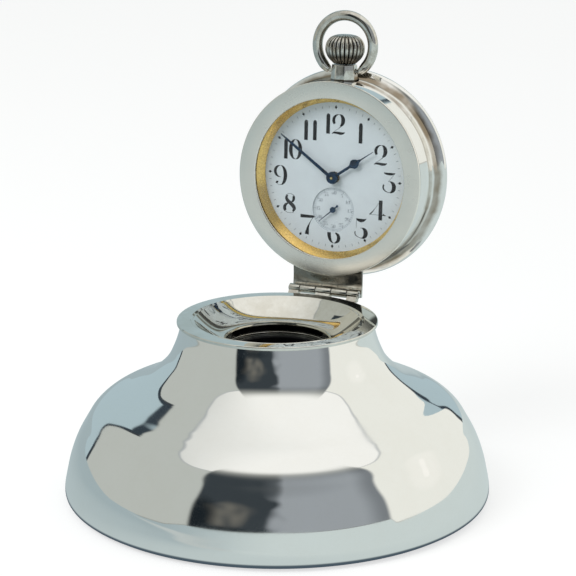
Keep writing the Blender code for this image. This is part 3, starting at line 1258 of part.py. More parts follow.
def make_barrel():
    """The toothed barrel with its cover, mainspring and arbor."""
    radii = tooth_radii(CENTRE_TO_BARREL, BARREL_TEETH, CENTRE_PINION_LEAVES)
    teeth = [gear_outline(BARREL_TEETH, radii[0], radii[1], direction(BARREL, CENTRE))]
    barrel = plate("barrel", teeth, BARREL_FRONT, BARREL_FRONT + BARREL_FLANGE_THICKNESS, "brass", LID,
                   BARREL)
    drum = plate("barrel_drum", [ring_points(BARREL_DRUM_RADIUS, INNER_STEPS)],
                 BARREL_FRONT + BARREL_FLANGE_THICKNESS / 2,
                 BARREL_BACK, "brass", LID, BARREL)
    bore = BARREL_ARBOR_RADIUS + GAP
    room = rod("barrel_room", BARREL_DRUM_RADIUS - BARREL_WALL, (0, 0, BARREL_FRONT + BARREL_FLOOR),
               (0, 0, BRIDGE_FRONT),
               "brass", LID, BARREL, steps=INNER_STEPS)
    hole = rod("barrel_hole", bore, (0, 0, DIAL_DEPTH), (0, 0, BRIDGE_FRONT), "brass", LID, BARREL,
               steps=TINY_STEPS)
    cut(fuse(barrel, drum), room, hole)

    cover = [ring_points(BARREL_DRUM_RADIUS - BARREL_WALL - GAP, INNER_STEPS),
             ring_points(bore, TINY_STEPS)]
    plate("barrel_cover", cover, BARREL_BACK - BARREL_COVER_THICKNESS, BARREL_BACK, "brass", LID, BARREL)

    half = MAINSPRING_THICKNESS / 2
    inside = spiral(MAINSPRING_INNER_RADIUS - half, MAINSPRING_OUTER_RADIUS - half, MAINSPRING_TURNS)
    outside = spiral(MAINSPRING_INNER_RADIUS + half, MAINSPRING_OUTER_RADIUS + half, MAINSPRING_TURNS)
    middle = (BARREL_FRONT + BARREL_FLOOR + BARREL_BACK - BARREL_COVER_THICKNESS) / 2
    low = middle - MAINSPRING_HEIGHT / 2
    plate("mainspring", [outside + inside[::-1]], low, low + MAINSPRING_HEIGHT, "blued_steel", LID, BARREL)
    rod("barrel_arbor", BARREL_ARBOR_RADIUS, (0, 0, BARREL_ARBOR_FRONT),
        (0, 0, WINDING_LEVEL + WINDING_WHEEL_THICKNESS + GAP), "steel", LID, BARREL, steps=TINY_STEPS)


def click_place():
    """The click's screw, just outside the ratchet wheel."""
    return BARREL + along(CLICK_DIRECTION, ratchet_radii()[1] + GAP + CLICK_RADIUS)


def ratchet_radii():
    """Root and tip radius of the ratchet wheel, which meshes with the crown wheel."""
    return tooth_radii((CROWN_WHEEL - BARREL).length, RATCHET_TEETH, CROWN_WHEEL_TEETH)


def make_winding_work():
    """The ratchet wheel, crown wheel, click and their screws on the barrel bridge."""
    low, high = WINDING_LEVEL, WINDING_LEVEL + WINDING_WHEEL_THICKNESS
    inner, outer = ratchet_radii()
    outlines = [gear_outline(RATCHET_TEETH, inner, outer, direction(BARREL, CROWN_WHEEL)),
                ring_points(BARREL_ARBOR_RADIUS + GAP, TINY_STEPS)]
    plate("ratchet_wheel", outlines, low, high, "steel", LID, BARREL)
    inner, outer = crown_wheel_radii()
    outlines = [gear_outline(CROWN_WHEEL_TEETH, inner, outer,
                             driven_phase(BARREL, CROWN_WHEEL, CROWN_WHEEL_TEETH)),
                ring_points(CORE_SCREW_SHANK_RADIUS + GAP, TINY_STEPS)]
    plate("crown_wheel", outlines, low, high, "steel", LID, CROWN_WHEEL)
    screw("crown_wheel_screw", CROWN_WHEEL, high + GAP, CORE_SCREW_HEAD_RADIUS, CORE_SCREW_SHANK_RADIUS,
          CORE_SCREW_SHANK_LENGTH)

    tail = along(CLICK_DIRECTION - CLICK_LEAN, CLICK_LENGTH)
    outlines = [belt_outline([((0, 0), CLICK_RADIUS), ((tail.x, tail.y), CLICK_NOSE_WIDTH)]),
                ring_points(SCREW_SHANK_RADIUS + GAP, TINY_STEPS)]
    plate("click", outlines, low, high, "steel", LID, click_place())
    screw("click_screw", click_place(), high + GAP, SCREW_HEAD_RADIUS, SCREW_SHANK_RADIUS,
          SCREW_SHANK_LENGTH + WINDING_WHEEL_THICKNESS)


def make_escapement():
    """The pallet lever, the balance wheel on its staff and the hairspring."""
    bottom, top = PLATE_BACK - PIVOT_REACH, BRIDGE_FRONT + PIVOT_REACH
    low, high = ESCAPE_WHEEL_LEVEL, ESCAPE_WHEEL_LEVEL + WHEEL_THICKNESS
    lever_end = along(PALLET_DIRECTION, LEVER_LENGTH)
    half = LEVER_WIDTH / 2
    lever = plate("pallet_lever", [belt_outline([((0, 0), LEVER_HUB_RADIUS), (lever_end.xy, half)])], low,
                  high, "steel",
                  LID, PALLET)
    for side in (-1, 1):
        reach = ESCAPE_RADIUS + PALLET_STONE_CLEARANCE + half
        stone = ESCAPE + along(PALLET_DIRECTION + side * PALLET_SPREAD, reach) - PALLET
        arm = plate(f"pallet_arm_{side}", [belt_outline([((0, 0), LEVER_HUB_RADIUS), (stone.xy, half)])],
                    low, high,
                    "steel", LID, PALLET)
        fuse(lever, arm)
    add_arbor(lever, bottom, top)

    notch = [along(PALLET_DIRECTION, LEVER_LENGTH + half + OVERRUN),
             along(PALLET_DIRECTION, LEVER_LENGTH + half - FORK_DEPTH)]
    slot = belt_outline([(end.xy, ROLLER_PIN_RADIUS) for end in notch])
    cut(lever, plate("fork_notch", [slot], low - OVERRUN, high + OVERRUN, "steel", LID, PALLET))

    outlines = [ring_points(BALANCE_RADIUS, INNER_STEPS)]
    outlines += arm_windows(BALANCE_ARMS, WHEEL_HUB_RADIUS, BALANCE_RADIUS - BALANCE_RIM_WIDTH,
                            BALANCE_ARM_WIDTH,
                            PALLET_DIRECTION, samples=8)
    balance = plate("balance_wheel", outlines, BALANCE_LEVEL, BALANCE_LEVEL + BALANCE_THICKNESS, "gilt",
                    LID, BALANCE)
    pin = along(PALLET_DIRECTION, ROLLER_PIN_DISTANCE)
    pin_rod = rod("impulse_pin", ROLLER_PIN_RADIUS, (pin.x, pin.y, low),
                  (pin.x, pin.y, BALANCE_LEVEL + BALANCE_THICKNESS / 2),
                  "steel", LID, BALANCE, steps=TINY_STEPS)
    fuse(balance, pin_rod)
    add_arbor(balance, bottom, COCK_FRONT + PIVOT_REACH)

    points = [(x, y, 0) for x, y in spiral(HAIRSPRING_INNER_RADIUS, HAIRSPRING_RADIUS, HAIRSPRING_TURNS)]
    place = (BALANCE.x, BALANCE.y, HAIRSPRING_LEVEL)
    wire("hairspring", points, [HAIRSPRING_WIRE_RADIUS] * len(points), "blued_steel", LID, place,
         resolution=0)


def make_motion_work():
    """The cannon pinion, minute wheel and hour wheel that turn the hands under the dial."""
    low = MINUTE_WHEEL_LEVEL
    cannon = plate(
        "cannon_pinion",
        [gear_outline(CANNON_LEAVES, *tooth_radii(MOTION_DISTANCE, CANNON_LEAVES, MINUTE_WHEEL_TEETH),
                      driven_phase(MINUTE_ARBOR, CENTRE, CANNON_LEAVES))],
        low, low + MOTION_WHEEL_THICKNESS, "steel", LID,
    )
    front = DIAL_DEPTH - MINUTE_HAND_HEIGHT + GAP
    tube = rod("cannon_tube", CANNON_TUBE_RADIUS, (0, 0, front), (0, 0, low + MOTION_WHEEL_THICKNESS),
               "steel", LID)
    bore = rod("cannon_bore", ARBOR_HOLE, (0, 0, 0), (0, 0, PLATE_BACK), "steel", LID, steps=TINY_STEPS)
    cut(fuse(cannon, tube), bore)

    minute = plate(
        "minute_wheel",
        [gear_outline(MINUTE_WHEEL_TEETH, *tooth_radii(MOTION_DISTANCE, MINUTE_WHEEL_TEETH, CANNON_LEAVES),
                      direction(MINUTE_ARBOR, CENTRE))],
        low, low + MOTION_WHEEL_THICKNESS, "brass", LID, MINUTE_ARBOR,
    )
    add_pinion(minute, MINUTE_PINION_LEAVES,
               tooth_radii(MOTION_DISTANCE, MINUTE_PINION_LEAVES, HOUR_WHEEL_TEETH),
               PLATE_FRONT, low - PLATE_FRONT + MOTION_WHEEL_THICKNESS / 2,
               driven_phase(CENTRE, MINUTE_ARBOR, MINUTE_PINION_LEAVES))
    add_arbor(minute, PLATE_FRONT, PLATE_FRONT + MOTION_RECESS_DEPTH + PIVOT_REACH)

    hour = plate(
        "hour_wheel",
        [gear_outline(HOUR_WHEEL_TEETH,
                      *tooth_radii(MOTION_DISTANCE, HOUR_WHEEL_TEETH, MINUTE_PINION_LEAVES),
                      direction(CENTRE, MINUTE_ARBOR))],
        PLATE_FRONT, PLATE_FRONT + MOTION_WHEEL_THICKNESS, "brass", LID,
    )
    front = DIAL_DEPTH - HOUR_HAND_HEIGHT + GAP
    tube = rod("hour_tube", HOUR_TUBE_RADIUS, (0, 0, front), (0, 0, PLATE_FRONT + MOTION_WHEEL_THICKNESS),
               "brass", LID)
    bore = rod("hour_bore", CANNON_TUBE_RADIUS + GAP, (0, 0, 0), (0, 0, PLATE_BACK), "brass", LID)
    cut(fuse(hour, tube), bore)


clear_scene()
PARTS = new_collection(OBJECT_NAME)
CUTTERS = new_collection("cutters")
STAND = frame("stand", (0, 0, 0))
HINGE = frame("lid_hinge", (0, HINGE_BACK, HINGE_HEIGHT), STAND, -LID_OPEN_ANGLE)
LID = frame("lid", (0, -HINGE_BACK, -PIN_IN_LID), HINGE)
make_stand()
make_well()
make_hinge()
make_lid_shell()
make_watch_case()
make_dial()
make_hands()
make_main_plate()
make_bridges()
make_going_train()
make_barrel()
make_winding_work()
make_escapement()
make_motion_work()
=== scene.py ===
"""A weighted silver desk inkstand: a capstan body with a glass-lined well, and a hinged drum lid that holds a
crown-wound pocket watch. New pieces are surfaces worked out on grids of points; everything is in metres."""

import json
import math

import bmesh
import bpy
import numpy as np
from bpy.props import FloatProperty, FloatVectorProperty, IntProperty, PointerProperty
from mathutils import Matrix, Vector


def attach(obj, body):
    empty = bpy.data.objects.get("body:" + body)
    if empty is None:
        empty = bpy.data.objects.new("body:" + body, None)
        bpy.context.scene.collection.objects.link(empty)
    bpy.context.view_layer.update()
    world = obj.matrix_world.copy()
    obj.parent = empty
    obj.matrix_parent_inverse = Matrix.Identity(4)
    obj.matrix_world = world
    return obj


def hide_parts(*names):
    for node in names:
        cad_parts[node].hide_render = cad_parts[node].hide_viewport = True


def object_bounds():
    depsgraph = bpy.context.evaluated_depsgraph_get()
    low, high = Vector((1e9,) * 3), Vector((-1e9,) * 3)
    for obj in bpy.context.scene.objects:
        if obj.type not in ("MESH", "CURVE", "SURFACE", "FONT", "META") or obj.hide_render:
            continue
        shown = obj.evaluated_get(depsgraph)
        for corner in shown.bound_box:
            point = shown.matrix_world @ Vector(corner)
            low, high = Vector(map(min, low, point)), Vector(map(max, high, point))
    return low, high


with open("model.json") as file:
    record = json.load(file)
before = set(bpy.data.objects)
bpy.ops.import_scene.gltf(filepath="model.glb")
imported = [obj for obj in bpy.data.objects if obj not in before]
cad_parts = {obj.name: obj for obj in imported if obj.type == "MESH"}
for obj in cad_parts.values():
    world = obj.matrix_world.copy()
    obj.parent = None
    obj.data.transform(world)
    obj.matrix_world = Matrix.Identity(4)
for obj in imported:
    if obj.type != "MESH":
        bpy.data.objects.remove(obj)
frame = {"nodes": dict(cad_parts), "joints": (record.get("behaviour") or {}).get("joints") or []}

bl_info = {
    "name": "Desk Inkstand",
    "version": (1, 0, 0),
    "blender": (4, 5, 0),
    "location": "3D View > Sidebar > Inkstand",
    "description": "Builds a silver desk inkstand with a watch in its lid, and the stage it stands on",
    "category": "Add Mesh",
}

MM = 0.001
CAD_BOX = [list(corner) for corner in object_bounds()]
PRINT_THICKNESS = 0.03 * MM
WELD = 1e-8
HARD_EDGE = 32.0


# Places: where a piece's own coordinates lie in the model

def place(origin, across, up, along):
    """A frame for a piece: its origin, and its three axes as rows."""
    return np.array(origin, float), np.array([across, up, along], float)


def to_model(points, where):
    """Points in a piece's frame, moved to the model: origin + x * across + y * up + z * along."""
    origin, axes = where
    return points @ axes + origin


def joint_axis(name):
    """The axis and the place of one of the frame's joints."""
    found = next(j for j in frame["joints"] if j["name"] == name)
    return np.array(found["axis"], float), np.array(found["pos_m"], float)


STAND = place((0, 0, 0), (1, 0, 0), (0, 1, 0), (0, 0, 1))
LID_BACKWARD, ARBOR_PLACE = joint_axis("minute_turn")
LID_UP = np.array((0, -LID_BACKWARD[2], LID_BACKWARD[1]))
PLATE_FACE = 10.0 * MM
LID = place(ARBOR_PLACE - PLATE_FACE * LID_BACKWARD, (1, 0, 0), LID_UP, LID_BACKWARD)


def in_lid(x, up, back, across=(1, 0, 0), own_up=(0, 1, 0), along=(0, 0, 1)):
    """A frame set in the lid, by its origin and its axes in the lid's own x, up and back."""
    axes = LID[1]
    turn = [np.array(v, float) @ axes for v in (across, own_up, along)]
    return place(np.array((x, up, back)) @ axes + LID[0], *turn)


STEM_DEPTH = 12.9 * MM
BOW_PIVOT = 38.8 * MM
CROWN_FOOT = 41.5 * MM
SUBDIAL_DROP = 12.2 * MM
HINGE_BACK = 41.9 * MM
HINGE_HEIGHT = 63.7 * MM
PIN_IN_LID = -0.6 * MM
UPRIGHT = dict(across=(1, 0, 0), own_up=(0, 0, 1), along=(0, 1, 0))
SUBDIAL = in_lid(0, -SUBDIAL_DROP, 0)
STEM_LINE = in_lid(0, 0, STEM_DEPTH, **UPRIGHT)
PIVOT_LINE = in_lid(0, BOW_PIVOT, STEM_DEPTH, (0, 1, 0), (0, 0, 1), (1, 0, 0))
ON_STAND = ("stand", STAND)


# Outlines

def smooth(points, count):
    """Catmull-Rom curve through the points, read at count even steps of its parameter."""
    p = np.array(points, float)
    p = np.vstack([2 * p[0] - p[1], p, 2 * p[-1] - p[-2]])
    at = np.linspace(0, len(p) - 3, count)
    k = np.minimum(at.astype(int), len(p) - 4)
    t = (at - k)[:, None]
    a, b, c, d = p[k], p[k + 1], p[k + 2], p[k + 3]
    return 0.5 * (2 * b + (c - a) * t + (2 * a - 5 * b + 4 * c - d) * t ** 2
                  + (3 * b - a - 3 * c + d) * t ** 3)


def fine(points, count):
    """Points a straight line apart, filled in to count even steps of length."""
    p = np.array(points, float)
    run = np.concatenate([[0], np.cumsum(np.linalg.norm(np.diff(p, axis=0), axis=1))])
    at = np.linspace(0, run[-1], count)
    return np.stack([np.interp(at, run, p[:, i]) for i in range(p.shape[1])], axis=1)


def rounded(corners, closed=True, steps=6):
    """An outline in millimetres whose corners (x, y, radius) are eased by a curve: each one runs from the
    tangent point on its first side to the one on its second as (1-t)^2 a + 2t(1-t) corner + t^2 b."""
    made = []
    count = len(corners)
    t = np.linspace(0, 1, steps)[:, None]
    for i, corner in enumerate(corners):
        here, radius = np.array(corner[:2], float), corner[2] if len(corner) > 2 else 0
        if radius == 0 or (not closed and i in (0, count - 1)):
            made.append(here[None])
            continue
        first = np.array(corners[i - 1][:2], float) - here
        second = np.array(corners[(i + 1) % count][:2], float) - here
        long_a, long_b = np.linalg.norm(first), np.linalg.norm(second)
        half = 0.5 * math.acos(np.clip(first @ second / (long_a * long_b), -1, 1))
        cut = min(radius / math.tan(half), 0.48 * long_a, 0.48 * long_b)
        a, b = here + first / long_a * cut, here + second / long_b * cut
        made.append((1 - t) ** 2 * a + 2 * t * (1 - t) * here + t ** 2 * b)
    return np.vstack(made) * MM


def inset(outline, distance):
    """An open outline moved to its left by a distance, square to its course."""
    course = np.gradient(outline, axis=0)
    course /= np.linalg.norm(course, axis=1)[:, None]
    return outline + distance * np.stack([-course[:, 1], course[:, 0]], axis=1)


def ring_section(count, width=1.0, height=1.0):
    """A round or oval section: (width cos a, height sin a)."""
    a = np.linspace(0, 2 * math.pi, count, endpoint=False)
    return np.stack([width * np.cos(a), height * np.sin(a)], axis=1)


# Shells: closed surfaces on a grid of points

def shell(points, closed_along=False, caps=True):
    """Points (rows, columns, 3) and the faces that join each one to the next column, which wraps round, and
    to the next row, which wraps where closed_along is set. Otherwise a flat face closes each end."""
    rows, columns = points.shape[:2]
    number = np.arange(rows * columns).reshape(rows, columns)
    right, below = np.roll(number, -1, axis=1), np.roll(number, -1, axis=0)
    faces = np.stack([number, right, np.roll(right, -1, axis=0), below], axis=2)
    if not closed_along:
        faces = faces[:-1]
    faces = faces.reshape(-1, 4).tolist()
    if caps and not closed_along:
        faces += [number[0, ::-1].tolist(), number[-1].tolist()]
    return points.reshape(-1, 3), faces


def around(radius, a, height):
    """Points (r cos a, r sin a, h): one row a height, one column an angle."""
    return np.stack([radius * np.cos(a), radius * np.sin(a), height + 0 * radius * a], axis=2)


def turned(outline, where, steps):
    """A lathe form, with the outline's (radius, height) at a_j = 2 pi j / steps. An outline that starts and
    ends on the axis closes at its poles, and any other closes onto its own start."""
    a = np.linspace(0, 2 * math.pi, steps, endpoint=False)
    grid = around(outline[:, 0, None], a, outline[:, 1, None])
    on_axis = abs(outline[0, 0]) < WELD and abs(outline[-1, 0]) < WELD
    return shell(to_model(grid, where), closed_along=not on_axis, caps=False)


def rod(radius, low, high, where, steps):
    """A plain closed cylinder to drill with, in millimetres."""
    return turned(np.array([(0, low), (radius, low), (radius, high), (0, high)]) * MM, where, steps)


def dome(radius, height, rise, count):
    """A dome's outline in millimetres, from its edge in: (radius (1 - s), height + rise sin(pi s / 2))."""
    share = np.linspace(0, 1, count)
    return np.stack([radius * (1 - share), height + rise * np.sin(share * np.pi / 2)], axis=1) * MM


def plate(outline, thickness):
    """An outline that ends on the axis, given a thickness along it, in millimetres."""
    return np.vstack([outline[::-1], outline + (0, thickness * MM)])


def carried(path, side, section, sizes=None, where=STAND, closed_along=False):
    """A section carried along a path: point (i, j) is path_i + u_j w_i (course_i x side) + v_j d_i side,
    where (u, v) is the section and (w, d) its width and depth there."""
    path, side = np.array(path, float), np.array(side, float)
    course = np.gradient(path, axis=0)
    if closed_along:
        course = np.roll(path, -1, axis=0) - np.roll(path, 1, axis=0)
    course /= np.linalg.norm(course, axis=1)[:, None]
    outward = np.cross(course, side)
    outward /= np.linalg.norm(outward, axis=1)[:, None]
    sizes = np.ones((len(path), 2)) if sizes is None else np.array(sizes, float)
    grid = (
        path[:, None]
        + outward[:, None] * (section[None, :, :1] * sizes[:, None, :1])
        + side * (section[None, :, 1:] * sizes[:, None, 1:])
    )
    return shell(to_model(grid, where), closed_along)


def ticks(angles, inner, outer, half_width, near, far, where):
    """Thin bars that point at the middle: each corner is (r sin a + w cos a, r cos a - w sin a, z), with a
    the clock angle, r inner or outer, w plus or minus half_width, and z near or far."""
    a = np.array(angles, float)[:, None, None]
    r = np.array([inner, outer])[None, :, None] + 0 * a
    w = np.array([-1, 1, 1, -1])[None, None, :] * half_width
    z = np.array([near, near, far, far])[None, None, :] + 0 * a + 0 * r
    grid = np.stack([r * np.sin(a) + w * np.cos(a), r * np.cos(a) - w * np.sin(a), z + 0 * w], axis=3)
    return [shell(to_model(g, where)) for g in grid]


def solid(name, shells):
    """A mesh of closed shells, its doubled points joined and its faces turned outward."""
    points, faces, start = [], [], 0
    for own_points, own_faces in shells:
        points.append(own_points)
        faces += [[start + i for i in face] for face in own_faces]
        start += len(own_points)
    mesh = bpy.data.meshes.new(name)
    mesh.from_pydata(np.vstack(points).tolist(), [], faces)
    work = bmesh.new()
    work.from_mesh(mesh)
    bmesh.ops.remove_doubles(work, verts=work.verts, dist=WELD * 10)
    bmesh.ops.dissolve_degenerate(work, edges=work.edges, dist=WELD)
    bmesh.ops.recalc_face_normals(work, faces=work.faces)
    work.to_mesh(mesh)
    work.free()
    return mesh


def piece(name, shells, finish, body, stands_for=(), sharp=HARD_EDGE):
    """One object from one or more shells, with its finish, on the body that carries it."""
    return dress(bpy.data.objects.new(name, solid(name, shells)), finish, body, stands_for, sharp)


def dress(item, finish, body, stands_for=(), sharp=HARD_EDGE):
    """Smooth shading with hard edges over an angle, a finish, a body and the pieces that it stands for."""
    mesh = item.data
    mesh.polygons.foreach_set("use_smooth", np.ones(len(mesh.polygons), bool))
    mesh.set_sharp_from_angle(angle=math.radians(sharp))
    mesh.materials.clear()
    mesh.materials.append(finish)
    if item.name not in bpy.context.scene.collection.objects:
        bpy.context.scene.collection.objects.link(item)
    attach(item, body)
    if stands_for:
        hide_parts(*stands_for)
    return item


def lathe(context, name, outline, steps, coat, node, slot, body="lid", where=LID):
    """A turned piece with a named finish, which stands for one of the frame's nodes."""
    return piece(name, [turned(outline, where, steps)], finish(context, coat), body, (node,))


def drilled(item, *cutters):
    """The piece with closed cutters taken away from its mesh."""
    for cutter in cutters:
        mesh = solid("cutter", [cutter])
        tool = bpy.data.objects.new("cutter", mesh)
        bpy.context.scene.collection.objects.link(tool)
        modifier = item.modifiers.new("drill", "BOOLEAN")
        modifier.operation, modifier.solver, modifier.object = "DIFFERENCE", "EXACT", tool
        bpy.context.view_layer.update()
        shaped = item.evaluated_get(bpy.context.evaluated_depsgraph_get())
        made = bpy.data.meshes.new_from_object(shaped)
        item.modifiers.clear()
        old, item.data = item.data, made
        bpy.data.meshes.remove(old)
        bpy.data.objects.remove(tool)
        bpy.data.meshes.remove(mesh)
    item.data.name = item.name
    item.data.set_sharp_from_angle(angle=math.radians(HARD_EDGE))
    return item


# Node helpers

def feed(tree, socket, value):
    """Links a socket to another one, or sets it to a value."""
    if isinstance(value, bpy.types.NodeSocket):
        tree.links.new(value, socket)
    else:
        socket.default_value = value


def put(tree, kind, inputs=None, **settings):
    """A node of a kind, with its settings, and its inputs set to values or linked to sockets."""
    node = tree.nodes.new(kind)
    node.location = (len(tree.nodes) % 12 * 180 - 1200, 400 - len(tree.nodes) // 12 * 260)
    for key, value in settings.items():
        setattr(node, key, value)
    for key, value in (inputs or {}).items():
        feed(tree, node.inputs[key], value)
    return node


def rgba(colour):
    """A colour as four numbers. A socket stays as it is."""
    return colour if isinstance(colour, bpy.types.NodeSocket) else (*colour[:3], 1.0)


def calc(tree, operation, *values, clamp=False):
    """A sum on numbers that change over the surface."""
    inputs = dict(enumerate(values))
    return put(tree, "ShaderNodeMath", inputs, operation=operation, use_clamp=clamp).outputs[0]


def chain(tree, operation, values):
    """An operation over all the values in turn."""
    made = values[0]
    for value in values[1:]:
        made = calc(tree, operation, made, value)
    return made


def plus(tree, *values):
    """The values added up."""
    return chain(tree, "ADD", values)


def times(tree, *values):
    """The values multiplied."""
    return chain(tree, "MULTIPLY", values)


def most(tree, *values):
    """The largest of the values."""
    return chain(tree, "MAXIMUM", values)


def step(tree, value, low, high, start=0.0, end=1.0):
    """A soft step: start below low, end above high, smooth between them."""
    inputs = {"Value": value, "From Min": low, "From Max": high, "To Min": start, "To Max": end}
    return put(tree, "ShaderNodeMapRange", inputs, interpolation_type="SMOOTHSTEP").outputs[0]


def band(tree, value, low, high, soft):
    """1 between low and high, and 0 outside, over a soft edge."""
    return times(tree, step(tree, value, low - soft, low + soft),
                 step(tree, value, high - soft, high + soft, 1.0, 0.0))


def blend_colour(tree, share, first, second):
    """The first colour, going to the second with the share."""
    inputs = {0: share, 6: rgba(first), 7: rgba(second)}
    return put(tree, "ShaderNodeMix", inputs, data_type="RGBA").outputs[2]


def noise(tree, vector, scale, detail=3.0, roughness=0.5):
    """Smooth noise, about 0.5, in lumps of about 1 / scale."""
    inputs = {"Vector": vector, "Scale": scale, "Detail": detail, "Roughness": roughness}
    return put(tree, "ShaderNodeTexNoise", inputs).outputs["Fac"]


def bump(tree, strength, distance, height):
    """A normal that follows a height."""
    inputs = {"Strength": strength, "Distance": distance, "Height": height}
    return put(tree, "ShaderNodeBump", inputs).outputs[0]


def own_space(tree, stretch=None, turn=(0, 0, 0)):
    """Object coordinates, stretched and turned where a pattern needs it."""
    at = put(tree, "ShaderNodeTexCoord").outputs["Object"]
    if stretch is None:
        return at
    return put(tree, "ShaderNodeMapping", {"Vector": at, "Scale": stretch, "Rotation": turn}).outputs[0]


def new_group(name, inputs, outputs):
    """A shader group with named sockets, (kind, name, default), and its input and output nodes."""
    tree = bpy.data.node_groups.new(name, "ShaderNodeTree")
    for kind, label, default in inputs:
        socket = tree.interface.new_socket(label, in_out="INPUT", socket_type=kind)
        if default is not None:
            socket.default_value = default
    for kind, label in outputs:
        tree.interface.new_socket(label, in_out="OUTPUT", socket_type=kind)
    entry, leave = tree.nodes.new("NodeGroupInput"), tree.nodes.new("NodeGroupOutput")
    entry.location, leave.location = (-1500, 0), (1300, 0)
    return tree, entry.outputs, leave.inputs


VALUE, COLOUR, VECTOR = "NodeSocketFloat", "NodeSocketColor", "NodeSocketVector"


def handling_group():
    """Wear by handling: masks of broad smudges and of fine scratches in two directions, and a normal."""
    if "Handling Wear" in bpy.data.node_groups:
        return bpy.data.node_groups["Handling Wear"]
    tree, given, made = new_group(
        "Handling Wear",
        [(VALUE, "Smudge Scale", 45.0), (VALUE, "Scratch Scale", 900.0), (VALUE, "Depth", 0.05)],
        [(VALUE, "Smudge"), (VALUE, "Scratch"), (VECTOR, "Normal")],
    )
    at = own_space(tree)
    broad = noise(tree, at, given["Smudge Scale"], 4.0, 0.6)
    tree.links.new(step(tree, broad, 0.42, 0.68), made["Smudge"])
    one_way, other_way = (
        noise(tree, own_space(tree, stretch, turn), given["Scratch Scale"], 2.0, 0.6)
        for stretch, turn in (((1.0, 0.05, 0.35), (0.3, 0.2, 0.7)), ((0.05, 1.0, 0.3), (0.9, 0.4, 0.2)))
    )
    fine_lines = most(tree, step(tree, one_way, 0.64, 0.74), step(tree, other_way, 0.66, 0.76))
    tree.links.new(fine_lines, made["Scratch"])
    dents = noise(tree, at, times(tree, given["Smudge Scale"], 2.5), 1.0, 0.4)
    height = plus(tree, dents, times(tree, fine_lines, -0.02))
    tree.links.new(bump(tree, given["Depth"], 0.0002, height), made["Normal"])
    return tree


def patina_group():
    """Tarnish: a brown film in blotches that thins out where it is rubbed, as a colour and a mask."""
    if "Patina" in bpy.data.node_groups:
        return bpy.data.node_groups["Patina"]
    tree, given, made = new_group(
        "Patina",
        [(COLOUR, "Clean", (0.9, 0.9, 0.88, 1)), (COLOUR, "Film", (0.4, 0.3, 0.2, 1)),
         (VALUE, "Amount", 0.3), (VALUE, "Scale", 200.0)],
        [(COLOUR, "Colour"), (VALUE, "Mask")],
    )
    at = own_space(tree)
    blotch = noise(tree, at, given["Scale"], 5.0, 0.65)
    speck = noise(tree, at, times(tree, given["Scale"], 9.0), 2.0, 0.5)
    mixed = plus(tree, times(tree, blotch, 0.8), times(tree, speck, 0.2))
    mask = times(tree, step(tree, mixed, 0.36, 0.66), given["Amount"])
    tree.links.new(blend_colour(tree, mask, given["Clean"], given["Film"]), made["Colour"])
    tree.links.new(mask, made["Mask"])
    return tree


def grain_group():
    """A fine frosted or matt grain, as a value about 0.5 and a normal."""
    if "Frosted Grain" in bpy.data.node_groups:
        return bpy.data.node_groups["Frosted Grain"]
    tree, given, made = new_group(
        "Frosted Grain",
        [(VALUE, "Scale", 2500.0), (VALUE, "Depth", 0.3)],
        [(VALUE, "Grain"), (VECTOR, "Normal")],
    )
    value = noise(tree, own_space(tree), given["Scale"], 3.0, 0.6)
    tree.links.new(value, made["Grain"])
    tree.links.new(bump(tree, given["Depth"], 0.00004, value), made["Normal"])
    return tree


def use_group(tree, group, inputs):
    """A node that places one of the shared groups, with its own values."""
    return put(tree, "ShaderNodeGroup", inputs, node_tree=group).outputs


def blank_material(name):
    """A material with one Principled shader, and its node tree."""
    material = bpy.data.materials.new(name)
    material.use_nodes = True
    return material, material.node_tree


def cover(material, tone, rough, normal=None, values=None):
    """The material, its shader given a colour, a roughness, a normal and other inputs by their names."""
    inputs = {"Base Color": tone, "Roughness": rough, **(values or {})}
    if normal:
        inputs["Normal"] = normal
    shader = material.node_tree.nodes["Principled BSDF"].inputs
    for key, value in inputs.items():
        feed(material.node_tree, shader[key], value)
    return material


METALLIC = {"Metallic": 1.0}


# Finishes

FLUTE_SHADE = (0.035, 0.028, 0.018)
PAINTED_BAND_SHADE = (0.05, 0.038, 0.024)
PAINTED_SHADE_BLACK = (0.008, 0.007, 0.005)
OPEN_PORE = (0.03, 0.015, 0.008)
SMEARED_GLASS = (0.92, 0.96, 0.98)


def metal(name, colour, film, amount, blotches, smudges, scratches, depth):
    """A metal's material and tree, with its wear and its patina: the film's amount and the scale of its
    blotches, the scales of smudges and scratches, and the depth of both."""
    material, tree = blank_material(name)
    wear = use_group(tree, handling_group(),
                     {"Smudge Scale": smudges, "Scratch Scale": scratches, "Depth": depth})
    patina = use_group(tree, patina_group(),
                       {"Clean": rgba(colour), "Film": rgba(film), "Amount": amount, "Scale": blotches})
    return material, tree, wear, patina


def polished_silver(name, colour, film, amount=0.10, low=0.035, high=0.10):
    """Polished silver: mirror-bright, with smudges that roughen it, faint scratches and a thin warm film."""
    material, tree, wear, patina = metal(name, colour, film, amount, 60.0, 38.0, 1100.0, 0.04)
    smear = plus(tree, wear["Smudge"], times(tree, wear["Scratch"], 0.5))
    rough = step(tree, smear, 0.0, 1.5, low, high)
    return cover(material, patina["Colour"], rough, wear["Normal"], METALLIC)


def toward(tree, across, up, degrees):
    """How far a point lies from the dial's middle toward a clock angle."""
    turn = math.radians(degrees)
    return plus(tree, times(tree, across, math.sin(turn)), times(tree, up, math.cos(turn)))


